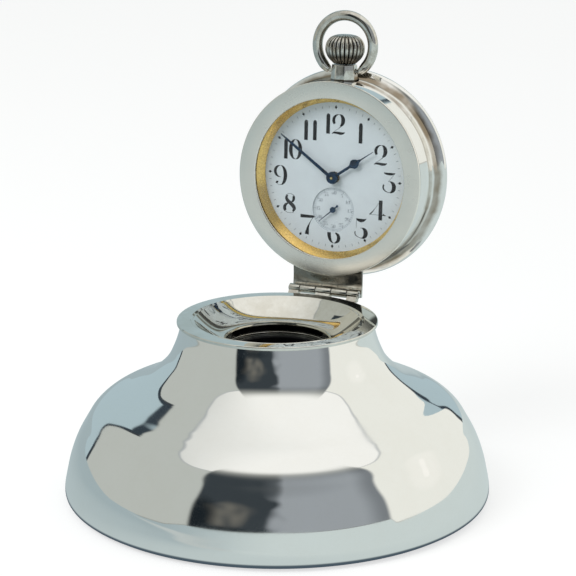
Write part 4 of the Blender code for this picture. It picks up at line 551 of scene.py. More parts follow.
def drum_silver(name, colour, film, tarnish):
    """Polished silver whose cove and bead have kept brown tarnish, by their depth behind the lid's front. It
    has near-black painted shade in the crease behind the bezel, in a patch low on the right and in a line
    above that."""
    material, tree, wear, patina = metal(name, colour, film, 0.25, 90.0, 38.0, 1100.0, 0.05)
    at = own_space(tree)
    across, up, back = (lid_measure(tree, axis) for axis in range(3))
    waver = times(tree, noise(tree, at, 110.0, 4.0, 0.6), 2.0 * MM)
    depth = plus(tree, back, waver)
    cove = band(tree, depth, 16.0 * MM, 18.8 * MM, 0.7 * MM)
    line = band(tree, depth, 11.4 * MM, 12.6 * MM, 0.4 * MM)
    brown = times(tree, most(tree, cove, times(tree, line, 0.5)),
                  step(tree, noise(tree, at, 60.0, 3.0, 0.6), 0.30, 0.60, 0.45, 0.95))
    tone = blend_colour(tree, brown, patina["Colour"], tarnish)

    # Painted shade, near black: a patch low on the right, a line above it, and the crease behind the bezel.
    patch = times(tree, step(tree, toward(tree, across, up, 143.0), 35.1 * MM, 35.4 * MM),
                  band(tree, depth, 1.0 * MM, 16.5 * MM, 0.6 * MM))
    low_line = times(tree, step(tree, toward(tree, across, up, 122.0), 33.9 * MM, 34.8 * MM),
                     band(tree, depth, 12.4 * MM, 14.0 * MM, 0.3 * MM))
    crease = times(tree, band(tree, back, 0.8 * MM, 2.1 * MM, 0.15 * MM), 0.85)
    stain_and_shade = most(tree, patch, low_line, crease)
    tone = blend_colour(tree, times(tree, stain_and_shade, 0.96), tone, PAINTED_SHADE_BLACK)
    smear = plus(tree, wear["Smudge"], times(tree, wear["Scratch"], 0.5), brown)
    return cover(material, tone, step(tree, smear, 0.0, 2.0, 0.045, 0.20), wear["Normal"], METALLIC)


def lid_measure(tree, axis):
    """How far a point lies along one of the lid's axes: 0 across, 1 up, 2 back."""
    at = own_space(tree)
    along = put(tree, "ShaderNodeVectorMath", {0: at, 1: tuple(LID[1][axis])}, operation="DOT_PRODUCT")
    return calc(tree, "SUBTRACT", along.outputs["Value"], float(LID[0] @ LID[1][axis]))


def worn_metal(name, colour, film, amount, low, high, scale=260.0, depth=0.12, dark=None, flutes=False):
    """Handled metal with tarnish in blotches: the film is browner and rougher than what is rubbed bright.
    It can carry painted shade between two heights in the lid, (low, high, softness, strength), and with
    flutes it is dark also in their hollows, which the own UV's U tells."""
    material, tree, wear, patina = metal(name, colour, film, amount, scale, 150.0, 1600.0, depth)
    tone = patina["Colour"]
    if flutes:
        own_uv = put(tree, "ShaderNodeTexCoord").outputs["UV"]
        hollow = put(tree, "ShaderNodeSeparateXYZ", {0: own_uv}).outputs[0]
        tone = blend_colour(tree, step(tree, hollow, 0.20, 0.62), tone, FLUTE_SHADE)
    if dark:
        # Painted shade in a band between two heights in the lid.
        bottom, top, soft, strength = dark
        shade = band(tree, lid_measure(tree, 1), bottom * MM, top * MM, soft * MM)
        tone = blend_colour(tree, times(tree, shade, strength), tone, PAINTED_BAND_SHADE)
    rough = plus(tree, wear["Smudge"], patina["Mask"], times(tree, wear["Scratch"], 0.6))
    return cover(material, tone, step(tree, rough, 0.0, 2.0, low, high), wear["Normal"], METALLIC)


def frosted_metal(name, colour, shade, rough=0.35, scale=2600.0, depth=0.35):
    """Gilt or brass of a movement, frosted with acid: a fine even grain, deeper in tone in its hollows."""
    material, tree = blank_material(name)
    grain = use_group(tree, grain_group(), {"Scale": scale, "Depth": depth})
    tone = blend_colour(tree, step(tree, grain["Grain"], 0.30, 0.62), shade, colour)
    rough = step(tree, grain["Grain"], 0.2, 0.8, rough + 0.12, rough - 0.08)
    return cover(material, tone, rough, grain["Normal"], METALLIC)


def blued_steel(name, colour, dark):
    """Heat-blued steel: deep blue, darker in places, under a polished skin."""
    material, tree = blank_material(name)
    wear = use_group(tree, handling_group(), {"Smudge Scale": 420.0, "Scratch Scale": 3000.0, "Depth": 0.05})
    tone = blend_colour(tree, wear["Smudge"], colour, dark)
    return cover(material, tone, step(tree, wear["Scratch"], 0.0, 1.0, 0.22, 0.36), wear["Normal"], METALLIC)


def fired_enamel(name, colour, shade):
    """Fired dial enamel: glassy white with a faint cloudiness and a barely wavy skin."""
    material, tree = blank_material(name)
    at = own_space(tree)
    tone = blend_colour(tree, step(tree, noise(tree, at, 160.0, 3.0, 0.5), 0.35, 0.7), colour, shade)
    rough = step(tree, noise(tree, at, 900.0, 2.0, 0.5), 0.3, 0.7, 0.10, 0.20)
    skin = bump(tree, 0.06, 0.0001, noise(tree, at, 420.0, 1.0))
    return cover(material, tone, rough, skin, {"Specular IOR Level": 0.5})


def printed_ink(name, colour, thin, rough=0.45):
    """Fired ink on the dial, a little thinner here and there."""
    material, tree = blank_material(name)
    spread = noise(tree, own_space(tree), 2600.0, 3.0, 0.6)
    tone = blend_colour(tree, step(tree, spread, 0.50, 0.80), colour, thin)
    rough = step(tree, spread, 0.3, 0.7, rough - 0.1, rough + 0.1)
    return cover(material, tone, rough, values={"Specular IOR Level": 0.12})


def watch_glass(name, colour):
    """The watch's crystal: nearly clear, with faint hairline scratches that catch the light."""
    material, tree = blank_material(name)
    wear = use_group(tree, handling_group(), {"Smudge Scale": 90.0, "Scratch Scale": 1500.0, "Depth": 0.02})
    tone = blend_colour(tree, wear["Smudge"], colour, SMEARED_GLASS)
    rough = step(tree, wear["Scratch"], 0.0, 1.0, 0.02, 0.12)
    film = step(tree, wear["Smudge"], 0.0, 1.0, 0.018, 0.032)
    return cover(material, tone, rough, values={"Alpha": film, "Specular IOR Level": 0.6})


def inked_glass(name, colour, ink):
    """The well's liner: thick glass, black with dried ink inside and down its wall in runs."""
    material, tree = blank_material(name)
    height = put(tree, "ShaderNodeSeparateXYZ", {0: own_space(tree)}).outputs[2]
    runs = noise(tree, own_space(tree, (1.0, 1.0, 0.12)), 300.0, 4.0, 0.6)
    level = plus(tree, height, times(tree, runs, 0.012))
    away = put(tree, "ShaderNodeVectorMath", {0: own_space(tree, (1.0, 1.0, 0.0))}, operation="LENGTH")
    inside = step(tree, away.outputs["Value"], 17.4 * MM, 17.9 * MM, 1.0, 0.0)
    stain_and_shade = times(tree, step(tree, level, 0.0700, 0.0760, 1.0, 0.0), inside)
    rough = step(tree, runs, 0.35, 0.7, 0.30, 0.55)
    return cover(material, blend_colour(tree, stain_and_shade, colour, ink), rough, values={"Specular IOR Level": 0.15})


def turned_wood(name, colour, dark):
    """The weighted base's board: straight grain with darker rings and open pores."""
    material, tree = blank_material(name)
    at = own_space(tree, (1.0, 0.06, 1.0))
    rings = put(tree, "ShaderNodeTexWave", {"Vector": at, "Scale": 130.0, "Distortion": 5.0, "Detail": 3.0},
                wave_type="BANDS", bands_direction="X").outputs["Fac"]
    pores = noise(tree, own_space(tree, (1.0, 0.04, 1.0)), 1800.0, 2.0, 0.6)
    tone = blend_colour(tree, rings, dark, colour)
    tone = blend_colour(tree, step(tree, pores, 0.62, 0.75), tone, OPEN_PORE)
    return cover(material, tone, step(tree, pores, 0.3, 0.8, 0.42, 0.70), bump(tree, 0.4, 0.0001, pores))


def felted_cloth(name, colour, dark, scale, sheen, fuzz=0.7):
    """Baize or velvet: a short crossed nap, lighter where it stands up, with a soft sheen."""
    material, tree = blank_material(name)
    nap = noise(tree, own_space(tree), scale, 5.0, 0.75)
    lean = noise(tree, own_space(tree, (1.0, 0.5, 1.0)), scale / 14.0, 2.0, 0.5)
    pile = plus(tree, times(tree, nap, 0.7), times(tree, lean, 0.3))
    tone = blend_colour(tree, step(tree, pile, 0.35, 0.68), dark, colour)
    rough = step(tree, nap, 0.2, 0.8, 0.98, 0.82)
    return cover(material, tone, rough, bump(tree, fuzz, 0.0003, pile), {"Sheen Weight": sheen})


def cast_pitch(name, colour, dull):
    """The pitch that weights the shell: shiny where it flowed, dull and pitted elsewhere."""
    material, tree = blank_material(name)
    flow = noise(tree, own_space(tree), 90.0, 5.0, 0.6)
    tone = blend_colour(tree, step(tree, flow, 0.4, 0.7), colour, dull)
    return cover(material, tone, step(tree, flow, 0.35, 0.7, 0.25, 0.85), bump(tree, 0.5, 0.0008, flow))


def finish(context, name):
    """The named finish, made when it is first asked for."""
    if name in bpy.data.materials:
        return bpy.data.materials[name]
    c = context.scene.inkstand_colours
    recipes = {
        "polished silver": lambda n: polished_silver(n, c.silver, c.warm_film),
        "tray silver": lambda n: polished_silver(n, c.tray, c.tray_film, 0.6, 0.03, 0.10),
        "bezel silver": lambda n: polished_silver(n, c.bezel, c.warm_film, 0.12, 0.20, 0.30),
        "drum silver": lambda n: drum_silver(n, c.silver, c.warm_film, c.tarnish),
        # Painted shade in a band: on the hinge under the drum, at the pendant's foot where it enters the
        # drum, and low on the crown.
        "hinge silver": lambda n: worn_metal(n, c.worn, c.tarnish, 0.6, 0.08, 0.22, 110.0,
                                             dark=(-39.4, -33.0, 1.2, 0.6)),
        "pendant silver": lambda n: worn_metal(n, c.worn, c.tarnish, 0.5, 0.05, 0.17,
                                               dark=(33.0, 35.9, 0.2, 0.9)),
        "crown silver": lambda n: worn_metal(n, c.worn, c.tarnish, 0.85, 0.16, 0.34, 420.0,
                                             dark=(40.0, 45.4, 1.2, 0.85), flutes=True),
        "case steel": lambda n: worn_metal(n, c.steel, c.tarnish, 0.15, 0.14, 0.30),
        "polished steel": lambda n: worn_metal(n, c.steel, c.tarnish, 0.06, 0.10, 0.22, 500.0, 0.05),
        "blued steel": lambda n: blued_steel(n, c.blued, c.blued_dark),
        "bright gilt": lambda n: frosted_metal(n, c.gilt_bright, c.gilt, 0.24, 1500.0, 0.06),
        "frosted gilt": lambda n: frosted_metal(n, c.gilt, c.gilt_shade, 0.40),
        "wheel brass": lambda n: worn_metal(n, c.brass, c.gilt_shade, 0.35, 0.14, 0.30, 600.0, 0.05),
        "dial enamel": lambda n: fired_enamel(n, c.enamel, c.enamel_shade),
        "dial black": lambda n: printed_ink(n, c.ink, c.ink_thin),
        "dial grey": lambda n: printed_ink(n, c.track, c.enamel_shade),
        "watch glass": lambda n: watch_glass(n, c.glass),
        "inked glass": lambda n: inked_glass(n, c.liner, c.dried_ink),
        "turned wood": lambda n: turned_wood(n, c.wood, c.wood_dark),
        "green baize": lambda n: felted_cloth(n, c.baize, c.baize_dark, 3200.0, 0.25),
        "plum velvet": lambda n: felted_cloth(n, c.velvet, c.velvet_dark, 5200.0, 0.9, 0.5),
        "cast pitch": lambda n: cast_pitch(n, c.pitch, c.pitch_dull),
    }
    return recipes[name](name)


# Settings that a user would change

def length(label, about, value):
    """A length property in metres."""
    return FloatProperty(name=label, description=about, default=value, min=0.0, unit="LENGTH", precision=5)


def colour(label, about, value):
    """A colour property."""
    return FloatVectorProperty(name=label, description=about, default=value, min=0.0, max=1.0, size=3,
                               subtype="COLOR")


class InkstandSizes(bpy.types.PropertyGroup):
    """Sizes of the pieces that the scene makes itself."""

    base_radius: length("Base radius", "Widest radius of the capstan body", CAD_BOX[1][0])
    rim_height: length("Rim height", "Top of the well's flat rim", 64.0 * MM)
    rim_radius: length("Rim radius", "Outer edge of the well's flat rim", 35.5 * MM)
    well_radius: length("Well radius", "Opening at the bottom of the dish", 18.6 * MM)
    numeral_height: length("Numeral height", "Height of the dial's hour numerals", 7.4 * MM)
    hour_ring: length("Hour dots", "Radius of the ring of hour dots", 26.0 * MM)
    bow_wire: length("Bow wire", "Radius of the bow's wire", 1.9 * MM)
    crown_ribs: IntProperty(name="Crown ribs", description="Flutes round the winding crown", default=26,
                            min=8, max=60)
    rib_depth: length("Rib depth", "Depth of the crown's flutes", 0.85 * MM)
    turn_steps: IntProperty(name="Turning steps", description="Steps round a turned piece", default=224,
                            min=24, max=512)


class InkstandColours(bpy.types.PropertyGroup):
    """Colours of the finishes."""

    silver: colour("Silver", "Polished silver", (0.93, 0.925, 0.90))
    bezel: colour("Bezel silver", "The lid's satin bezel", (1.0, 0.96, 0.885))
    tray: colour("Tray silver", "The dished tray where it is clean", (0.84, 0.825, 0.77))
    tray_film: colour("Tray film", "Film on the dished tray", (0.66, 0.625, 0.54))
    worn: colour("Worn silver", "Handled silver where it is rubbed bright", (0.78, 0.765, 0.71))
    warm_film: colour("Warm film", "Thin film on polished silver", (0.80, 0.76, 0.68))
    tarnish: colour("Tarnish", "Brown tarnish on handled silver", (0.27, 0.21, 0.14))
    steel: colour("Steel", "Polished steel", (0.62, 0.63, 0.64))
    blued: colour("Blued steel", "Heat-blued steel", (0.010, 0.050, 0.115))
    blued_dark: colour("Blued steel, dark", "Where the blueing is deepest", (0.006, 0.020, 0.045))
    gilt: colour("Gilt", "Gilding", (0.86, 0.60, 0.20))
    gilt_bright: colour("Bright gilt", "The polished ring round the dial", (1.0, 0.68, 0.22))
    gilt_shade: colour("Gilt shade", "Gilding in hollows", (0.58, 0.36, 0.10))
    brass: colour("Brass", "Wheels and arbors", (0.80, 0.62, 0.30))
    enamel: colour("Enamel", "Dial enamel", (0.83, 0.885, 0.92))
    enamel_shade: colour("Enamel shade", "Cloudy parts of the enamel", (0.80, 0.85, 0.885))
    ink: colour("Dial black", "Numerals and hour dots", (0.012, 0.012, 0.014))
    liner: colour("Liner", "The liner's glass from outside, dark with what lies behind it",
                  (0.05, 0.058, 0.056))
    dried_ink: colour("Dried ink", "Ink in and down the liner", (0.0015, 0.0015, 0.002))
    ink_thin: colour("Thin black", "Where the black is thin", (0.05, 0.05, 0.06))
    track: colour("Dial grey", "Minute and seconds tracks", (0.27, 0.30, 0.34))
    glass: colour("Glass", "Crystal and liner", (0.86, 0.90, 0.90))
    wood: colour("Wood", "Bottom board", (0.30, 0.16, 0.07))
    wood_dark: colour("Wood, dark", "Darker rings of the board", (0.16, 0.075, 0.03))
    baize: colour("Baize", "Baize under the foot", (0.045, 0.17, 0.10))
    baize_dark: colour("Baize, dark", "Hollows of the baize", (0.018, 0.075, 0.042))
    velvet: colour("Velvet", "Pad behind the watch", (0.20, 0.06, 0.22))
    velvet_dark: colour("Velvet, dark", "Hollows of the velvet", (0.06, 0.015, 0.07))
    pitch: colour("Pitch", "Filling, where it shines", (0.030, 0.024, 0.020))
    pitch_dull: colour("Pitch, dull", "Filling, where it is dull", (0.09, 0.07, 0.055))


class InkstandStudio(bpy.types.PropertyGroup):
    """The table, the tent of cloth round it and the camera."""

    table: colour("Table", "The table as the silver shows it, on the shaded side", (0.36, 0.445, 0.475))
    table_lit: colour("Table, lit", "The table as the silver shows it, on the lit side", (0.60, 0.68, 0.68))
    shaded: colour("Shaded cloth", "The tent's left side", (0.49, 0.52, 0.495))
    cream: colour("Cream cloth", "The tent's lit right side", (0.86, 0.87, 0.82))
    cool: colour("Cool cloth", "The tent's back", (0.42, 0.535, 0.58))
    ceiling: colour("Top cloth", "The tent's top", (0.95, 0.955, 0.93))
    ceiling_shade: colour("Top cloth, shaded", "The top where it meets the left side", (0.66, 0.68, 0.66))
    opening: colour("Opening", "The dark room seen through the open front", (0.040, 0.050, 0.058))
    dim: colour("Haze", "Pale grey things beyond the opening", (0.33, 0.36, 0.39))
    dull: colour("Dull shapes", "Brown-grey things beyond the opening", (0.17, 0.165, 0.145))
    lamp_power: FloatProperty(name="Lamp", description="Soft lamp's power", default=7.2, min=0.0,
                              unit="POWER")
    camera_height: length("Camera height", "Height of the camera above the table", 257.6 * MM)
    lens: FloatProperty(name="Lens", description="Focal length in millimetres", default=124.1, min=20.0,
                        max=400.0)


# Outlines of the turned pieces, as (radius, height) in metres

BODY_SHARES = (
    (0.972, 0.000), (0.996, 0.022), (1.000, 0.060), (0.990, 0.130), (0.971, 0.230), (0.941, 0.330),
    (0.901, 0.420), (0.861, 0.495), (0.800, 0.556), (0.708, 0.606), (0.620, 0.664), (0.556, 0.728),
    (0.512, 0.790), (0.483, 0.860), (0.462, 0.930), (0.448, 1.000),
)
BODY_LOW, BODY_HIGH = 0.5 * MM, 62.5 * MM
CROWN_RADIUS, CROWN_HEIGHT = 7.3 * MM, 10.6 * MM
CROWN_SHARES = (
    (0.56, 0.00), (0.64, 0.05), (0.84, 0.19), (0.97, 0.37), (1.00, 0.53), (0.95, 0.71),
    (0.80, 0.87), (0.58, 0.96), (0.34, 1.00), (0.12, 1.01), (0.0, 1.01),
)


def body_outline(radius, count):
    """The capstan's outside from the foot up."""
    shares = np.array(BODY_SHARES)
    points = np.stack([shares[:, 0] * radius, BODY_LOW + shares[:, 1] * (BODY_HIGH - BODY_LOW)], axis=1)
    return smooth(points, count)


def dish_outline(sizes):
    """The tray: its flat rim, the dish that falls as the 1.7th power of the way in, and the lip into the
    well."""
    top, rim, well = sizes.rim_height, sizes.rim_radius, sizes.well_radius
    flat, depth, wall = rim - 4.8 * MM, 7.7 * MM, 0.9 * MM
    share = np.linspace(1, 0, 30)
    dish = np.stack([well + (flat - well) * share, top - depth + depth * share ** 1.7], axis=1)
    under = inset(dish, -wall)[2:-1][::-1]
    high, out, hole, low = top / MM, rim / MM, well / MM, (top - depth) / MM
    edge = rounded([(out - 0.9, high - 1.2), (out, high - 1.2, 0.25), (out, high, 0.45), (flat / MM, high)],
                   closed=False)
    lip = rounded([(hole, low), (hole, low - 2.2, 0.2), (hole + 0.9, low - 2.2, 0.2),
                   (hole + 0.9, low - 0.6)], closed=False)
    return np.vstack([edge, dish[1:-1], lip, under, [(flat + wall, top - 1.2 * MM)]])


def drum_outline():
    """The drum's outside, from its front back: a straight wall, a cove as a cubic curve and a half-round
    bead."""
    centre, bead = np.array([37.5, 19.8]) * MM, 1.7 * MM
    angle = np.radians(-60.0 + np.linspace(0, 1, 22) * 150.0)
    bead_points = centre + bead * np.stack([np.cos(angle), np.sin(angle)], axis=1)
    start, end = np.array([35.6, 10.8]) * MM, bead_points[0]
    reach = (end[1] - start[1]) * 0.45
    leaving = start + (0, reach)
    arriving = end - reach * np.array([-np.sin(angle[0]), np.cos(angle[0])])
    t = np.linspace(0, 1, 26)[:, None]
    s = 1 - t
    cove = start * s ** 3 + 3 * leaving * t * s ** 2 + 3 * arriving * t ** 2 * s + end * t ** 3
    wall = fine([(35.6 * MM, 1.55 * MM), (35.6 * MM, 10.8 * MM)], 8)[:-1]
    front = rounded([(34.7, 1.3), (35.6, 1.3, 0.2), (35.6, 1.6)], closed=False)[1:-1]
    return np.vstack([front, wall, cove, bead_points[1:]])


# The stand

class INKSTAND_OT_body(bpy.types.Operator):
    """Spun capstan body with its rolled foot, and the tray with the dished well"""

    bl_idname = "inkstand.body"
    bl_label = "Body and Tray"

    def execute(self, context):
        sizes = context.scene.inkstand_sizes
        outer = body_outline(sizes.base_radius, 150)
        inner = inset(body_outline(sizes.base_radius, 60), 1.0 * MM)
        lathe(context, "capstan_body", np.vstack([outer, inner[::-1]]), sizes.turn_steps, "polished silver",
              "stand_body", "silver", *ON_STAND)
        lathe(context, "dished_tray", dish_outline(sizes), sizes.turn_steps, "tray silver", "well_tray",
              "silver", *ON_STAND)
        return {"FINISHED"}


class INKSTAND_OT_well(bpy.types.Operator):
    """The cup under the tray and the glass liner that lifts out of it"""

    bl_idname = "inkstand.well"
    bl_label = "Cup and Liner"

    def execute(self, context):
        cup = rounded([(0, 10.8), (19.3, 10.8, 1.2), (19.3, 53.8, 0.2), (18.6, 53.8, 0.2),
                       (18.6, 11.5, 0.8), (0, 11.5)], closed=False)
        lathe(context, "silver_cup", cup, 96, "pendant silver", "well_cup", "silver_worn", *ON_STAND)
        liner = rounded([(0, 11.8), (18.3, 11.8, 0.6), (18.3, 52.8, 0.7), (16.1, 52.8, 0.7),
                         (16.1, 15.4, 2.4), (0, 15.4)], closed=False)
        lathe(context, "glass_liner", liner, 128, "inked glass", "ink_liner", "glass", "liner", STAND)
        return {"FINISHED"}


class INKSTAND_OT_foot(bpy.types.Operator):
    """Green baize glued under the board"""

    bl_idname = "inkstand.foot"
    bl_label = "Baize Foot"

    def execute(self, context):
        edge = rounded([(0, 0.0), (71.8, 0.0, 0.5), (71.8, 1.2, 0.5), (0, 1.2)], closed=False)
        shape = np.vstack([fine([(0, 0), edge[1]], 24)[:-1], edge[1:-1],
                           fine([edge[-2], edge[-1]], 24)[1:]])
        lathe(context, "baize_foot", shape, 160, "green baize", "baize_pad", "baize", *ON_STAND)
        return {"FINISHED"}


# The hinge

KNUCKLES = ((-13.80, -9.60, "stand"), (-9.30, -3.30, "lid"), (-3.00, 3.00, "stand"), (3.30, 9.30, "lid"),
            (9.60, 13.80, "stand"))
KNUCKLE_BORE, KNUCKLE_RADIUS = 1.0, 1.6
LUGS = {
    "stand": ((38.6, 61.1, 0.2), (41.9, 61.1, 0.3), (43.1, 63.0, 0.3), (40.8, 63.7), (38.6, 61.6, 0.2)),
    "lid": ((40.75, -0.7), (43.10, -0.7), (43.10, 2.6, 0.2), (40.75, 2.6, 0.2)),
}


def knuckle(low, high, where):
    """A tube round the pin, turned about X, with eased ends."""
    outline = rounded([(KNUCKLE_BORE, low), (KNUCKLE_RADIUS, low, 0.14), (KNUCKLE_RADIUS, high, 0.14),
                       (KNUCKLE_BORE, high)])
    return turned(outline, where, 40)


def lug(low, high, corners, where):
    """A stub of a leaf under one knuckle: an eased outline carried along X."""
    path = np.stack([np.linspace(low + 0.2, high - 0.2, 3) * MM, np.zeros(3), np.zeros(3)], axis=1)
    return carried(path, (0, 0, 1), rounded(corners) * (-1, 1), where=where)


def leaf_way(x, share, radius, edge):
    """Rows of places from a leaf's inner edge, y = sqrt(radius^2 - x^2), to its straight outer edge."""
    start = np.sqrt((radius * MM) ** 2 - x ** 2)[:, None]
    return start + (edge * MM - start) * share[None]


class INKSTAND_OT_hinge(bpy.types.Operator):
    """The two leaves with their knuckles, and the pin"""

    bl_idname = "inkstand.hinge"
    bl_label = "Hinge"

    def execute(self, context):
        worn = finish(context, "hinge silver")
        x = np.linspace(-13.80, 13.80, 47) * MM
        own = {"stand": [], "lid": []}
        axle = {"stand": place((0, HINGE_BACK, HINGE_HEIGHT), (0, 1, 0), (0, 0, 1), (1, 0, 0)),
                "lid": in_lid(0, -HINGE_BACK, PIN_IN_LID, (0, 1, 0), (0, 0, 1), (1, 0, 0))}
        seat = {"stand": STAND, "lid": in_lid(0, 0, 0, (1, 0, 0), (0, -1, 0), (0, 0, 1))}
        for low, high, owner in KNUCKLES:
            own[owner] += [knuckle(low, high, axle[owner]), lug(low, high, LUGS[owner], seat[owner])]

        # Lid leaf: its inner edge follows the drum, and its face is hollowed by a power of a sine
        share = np.concatenate([np.linspace(0, 1, 14)[:-1], np.linspace(1, 1, 5), np.linspace(1, 0, 6)[1:]])
        front = np.concatenate([1.9 + 0.42 * np.sin(np.pi * np.linspace(0, 1, 14))[:-1] ** 1.2,
                                np.linspace(1.95, 3.15, 5), np.full(5, 3.2)])
        down = leaf_way(x, share, 35.66, 43.5)
        grid = np.stack([x[:, None] + 0 * down, -down, front[None] * MM + 0 * down], axis=2)
        own["lid"].append(shell(to_model(grid, LID)))

        # Stand leaf: the same form laid flat, its inner edge on the neck
        out = leaf_way(x, share, 34.35, 39.8)
        grid = np.stack([x[:, None] + 0 * out, out, (63.9 - front[None]) * MM + 0 * out], axis=2)
        own["stand"].append(shell(to_model(grid, STAND)))
        piece("lid_leaf", own["lid"], worn, "lid", ("lid_hinge_leaf",))
        piece("stand_leaf", own["stand"], worn, "stand", ("stand_hinge_leaf",))
        pin = rounded([(0, -14.3), (0.7, -14.3, 0.2), (0.7, 14.3, 0.2), (0, 14.3)], closed=False)
        lathe(context, "pin", pin, 32, "polished steel", "hinge_pin", "steel", "stand", axle["stand"])
        return {"FINISHED"}


# The lid

class INKSTAND_OT_lid(bpy.types.Operator):
    """The drum with its cove and bead, the flat bezel and the domed back"""

    bl_idname = "inkstand.lid"
    bl_label = "Lid Shell"

    def execute(self, context):
        steps = context.scene.inkstand_sizes.turn_steps
        outer = drum_outline()
        inner = inset(outer[4:], 0.9 * MM)
        drum = lathe(context, "drum", np.vstack([outer, inner[::-1]]), steps, "drum silver", "lid_drum",
                     "silver")
        drilled(drum, rod(5.5, 32.0, 41.2, STEM_LINE, 64))
        bezel = rounded([(29.7, 0.0, 0.35), (36.0, 0.0, 0.32), (36.0, 1.0, 0.12), (34.4, 1.0),
                         (34.4, 4.0, 0.15), (33.7, 4.0, 0.15), (33.7, 1.0), (29.7, 1.0, 0.2)])
        lathe(context, "bezel", bezel, steps, "bezel silver", "lid_bezel", "silver")
        lathe(context, "domed_back", plate(dome(37.1, 20.6, 3.2, 40), 0.9), steps, "polished silver",
              "lid_back", "silver")

        # Velvet pad: a round cushion, its face crowned as the square root of a parabola near the edge
        r = np.linspace(0, 1, 40)
        crown = 0.62 + 0.38 * (1 - r ** 6)
        face = np.stack([33.6 * r, 19.7 - 0.98 * crown * np.sqrt(np.clip(1 - r ** 14, 0, 1))], axis=1)
        back = np.stack([33.6 * r[::-1], 19.7 + 0.95 * np.sqrt(np.clip(1 - r[::-1] ** 14, 0, 1))], axis=1)
        pad = lathe(context, "velvet_pad", np.vstack([face, back[1:]]) * MM, 128, "plum velvet", "lid_pad",
                    "velvet")
        return {"FINISHED"}


class INKSTAND_OT_watch_case(bpy.types.Operator):
    """The watch's bezel, crystal, gilt ring, middle and back"""

    bl_idname = "inkstand.watch_case"
    bl_label = "Watch Case"

    def execute(self, context):
        steps = context.scene.inkstand_sizes.turn_steps
        rim = rounded([(31.5, 1.3, 0.1), (33.4, 1.3, 0.3), (33.4, 4.1, 0.15), (31.05, 4.1, 0.1),
                       (31.05, 2.6, 0.1), (31.5, 2.6)])
        lathe(context, "watch_rim", rim, steps, "case steel", "watch_bezel", "steel")
        lathe(context, "watch_glass", plate(dome(31.2, 1.3, -0.5, 32), 1.0), 128, "watch glass", "crystal",
              "glass")
        cone = rounded([(30.15, 2.6, 0.12), (30.75, 2.6, 0.12), (30.75, 5.6), (27.75, 5.6, 0.1)])
        lathe(context, "gilt_cone", cone, steps, "bright gilt", "gilt_ring", "gilt")
        middle = rounded([(33.3, 4.4, 0.2), (34.4, 4.4, 0.3), (34.4, 15.4, 0.3), (33.3, 15.4, 0.2)])
        case_band = lathe(context, "watch_band", middle, 160, "case steel", "watch_case_middle", "steel")
        drilled(case_band, rod(1.3, 22.6, 41.2, STEM_LINE, 32))
        top = dome(34.4, 17.0, 1.4, 32)
        under = np.vstack([top[:-1] * (33.3 / 34.4, 1) - (0, 0.8 * MM), [(0, 17.6 * MM)]])
        shape = np.vstack([under[::-1][:-1], [(33.3 * MM, 15.7 * MM), (34.4 * MM, 15.7 * MM)], top])
        lathe(context, "watch_back", shape, 160, "case steel", "watch_case_back", "steel")
        return {"FINISHED"}


class INKSTAND_OT_pendant(bpy.types.Operator):
    """The eight-sided pendant and the bow that hangs in it"""

    bl_idname = "inkstand.pendant"
    bl_label = "Pendant and Bow"

    def execute(self, context):
        sizes = context.scene.inkstand_sizes
        # Pendant: radius R(h) cos(pi/8) / cos(a), a measured from the nearest flat's middle, corners eased
        sides, steps = 8, 160
        a = np.linspace(0, 2 * math.pi, steps, endpoint=False)
        off = (a + math.pi / sides) % (2 * math.pi / sides) - math.pi / sides
        flat = np.minimum(math.cos(math.pi / sides) / np.cos(off), 0.985)
        profile = rounded([(1.3, 34.95), (5.1, 34.95, 0.2), (5.02, 36.2, 0.5), (4.7, 41.2, 0.35),
                           (1.3, 41.2)])
        blend = np.clip((profile[:, 0] / MM - 1.3) / 1.2, 0, 1)[:, None]
        radius = profile[:, 0, None] * (blend * flat[None] + (1 - blend))
        grid = to_model(around(radius, a, profile[:, 1, None]), STEM_LINE)
        silver = finish(context, "pendant silver")
        item = piece("pendant_neck", [shell(grid, closed_along=True)], silver, "lid", ("pendant",),
                     sharp=24.0)
        drilled(item, rod(1.1, -5.2, -2.54, PIVOT_LINE, 24), rod(1.1, 2.54, 5.2, PIVOT_LINE, 24))

        # Bow: a round wire along an arc, its ends drawn in to small pins in the pendant
        ring, rise, wire = 11.0 * MM, 9.3 * MM, sizes.bow_wire
        half_gap = math.acos(rise / ring)
        at = np.linspace(half_gap, 2 * math.pi - half_gap, 150)
        arc = np.stack([ring * np.sin(at), rise - ring * np.cos(at), 0 * at], axis=1)
        near = np.minimum(np.arange(150), np.arange(150)[::-1]) / 150.0
        size = wire * (0.60 + 0.40 * np.clip(near / 0.055, 0, 1) ** 0.6)
        size[[0, -1]] *= 0.5
        hang = in_lid(0, BOW_PIVOT, STEM_DEPTH)
        shells = [carried(arc, (0, 0, 1), ring_section(36), np.stack([size, size], axis=1), hang)]
        tip = rounded([(0, 3.15), (0.8, 3.15, 0.25), (0.8, 6.1, 0.4), (0, 6.1)], closed=False)
        shells += [turned(tip * (1, side), PIVOT_LINE, 28) for side in (-1, 1)]
        piece("bow_ring", shells, silver, "bow", ("bow",))
        return {"FINISHED"}


def flute_depth(ribs, a):
    """How deep an angle lies in its flute, as a share: 1 - |sin(n a / 2)|^0.7."""
    return 1 - np.abs(np.sin(ribs * a / 2)) ** 0.7


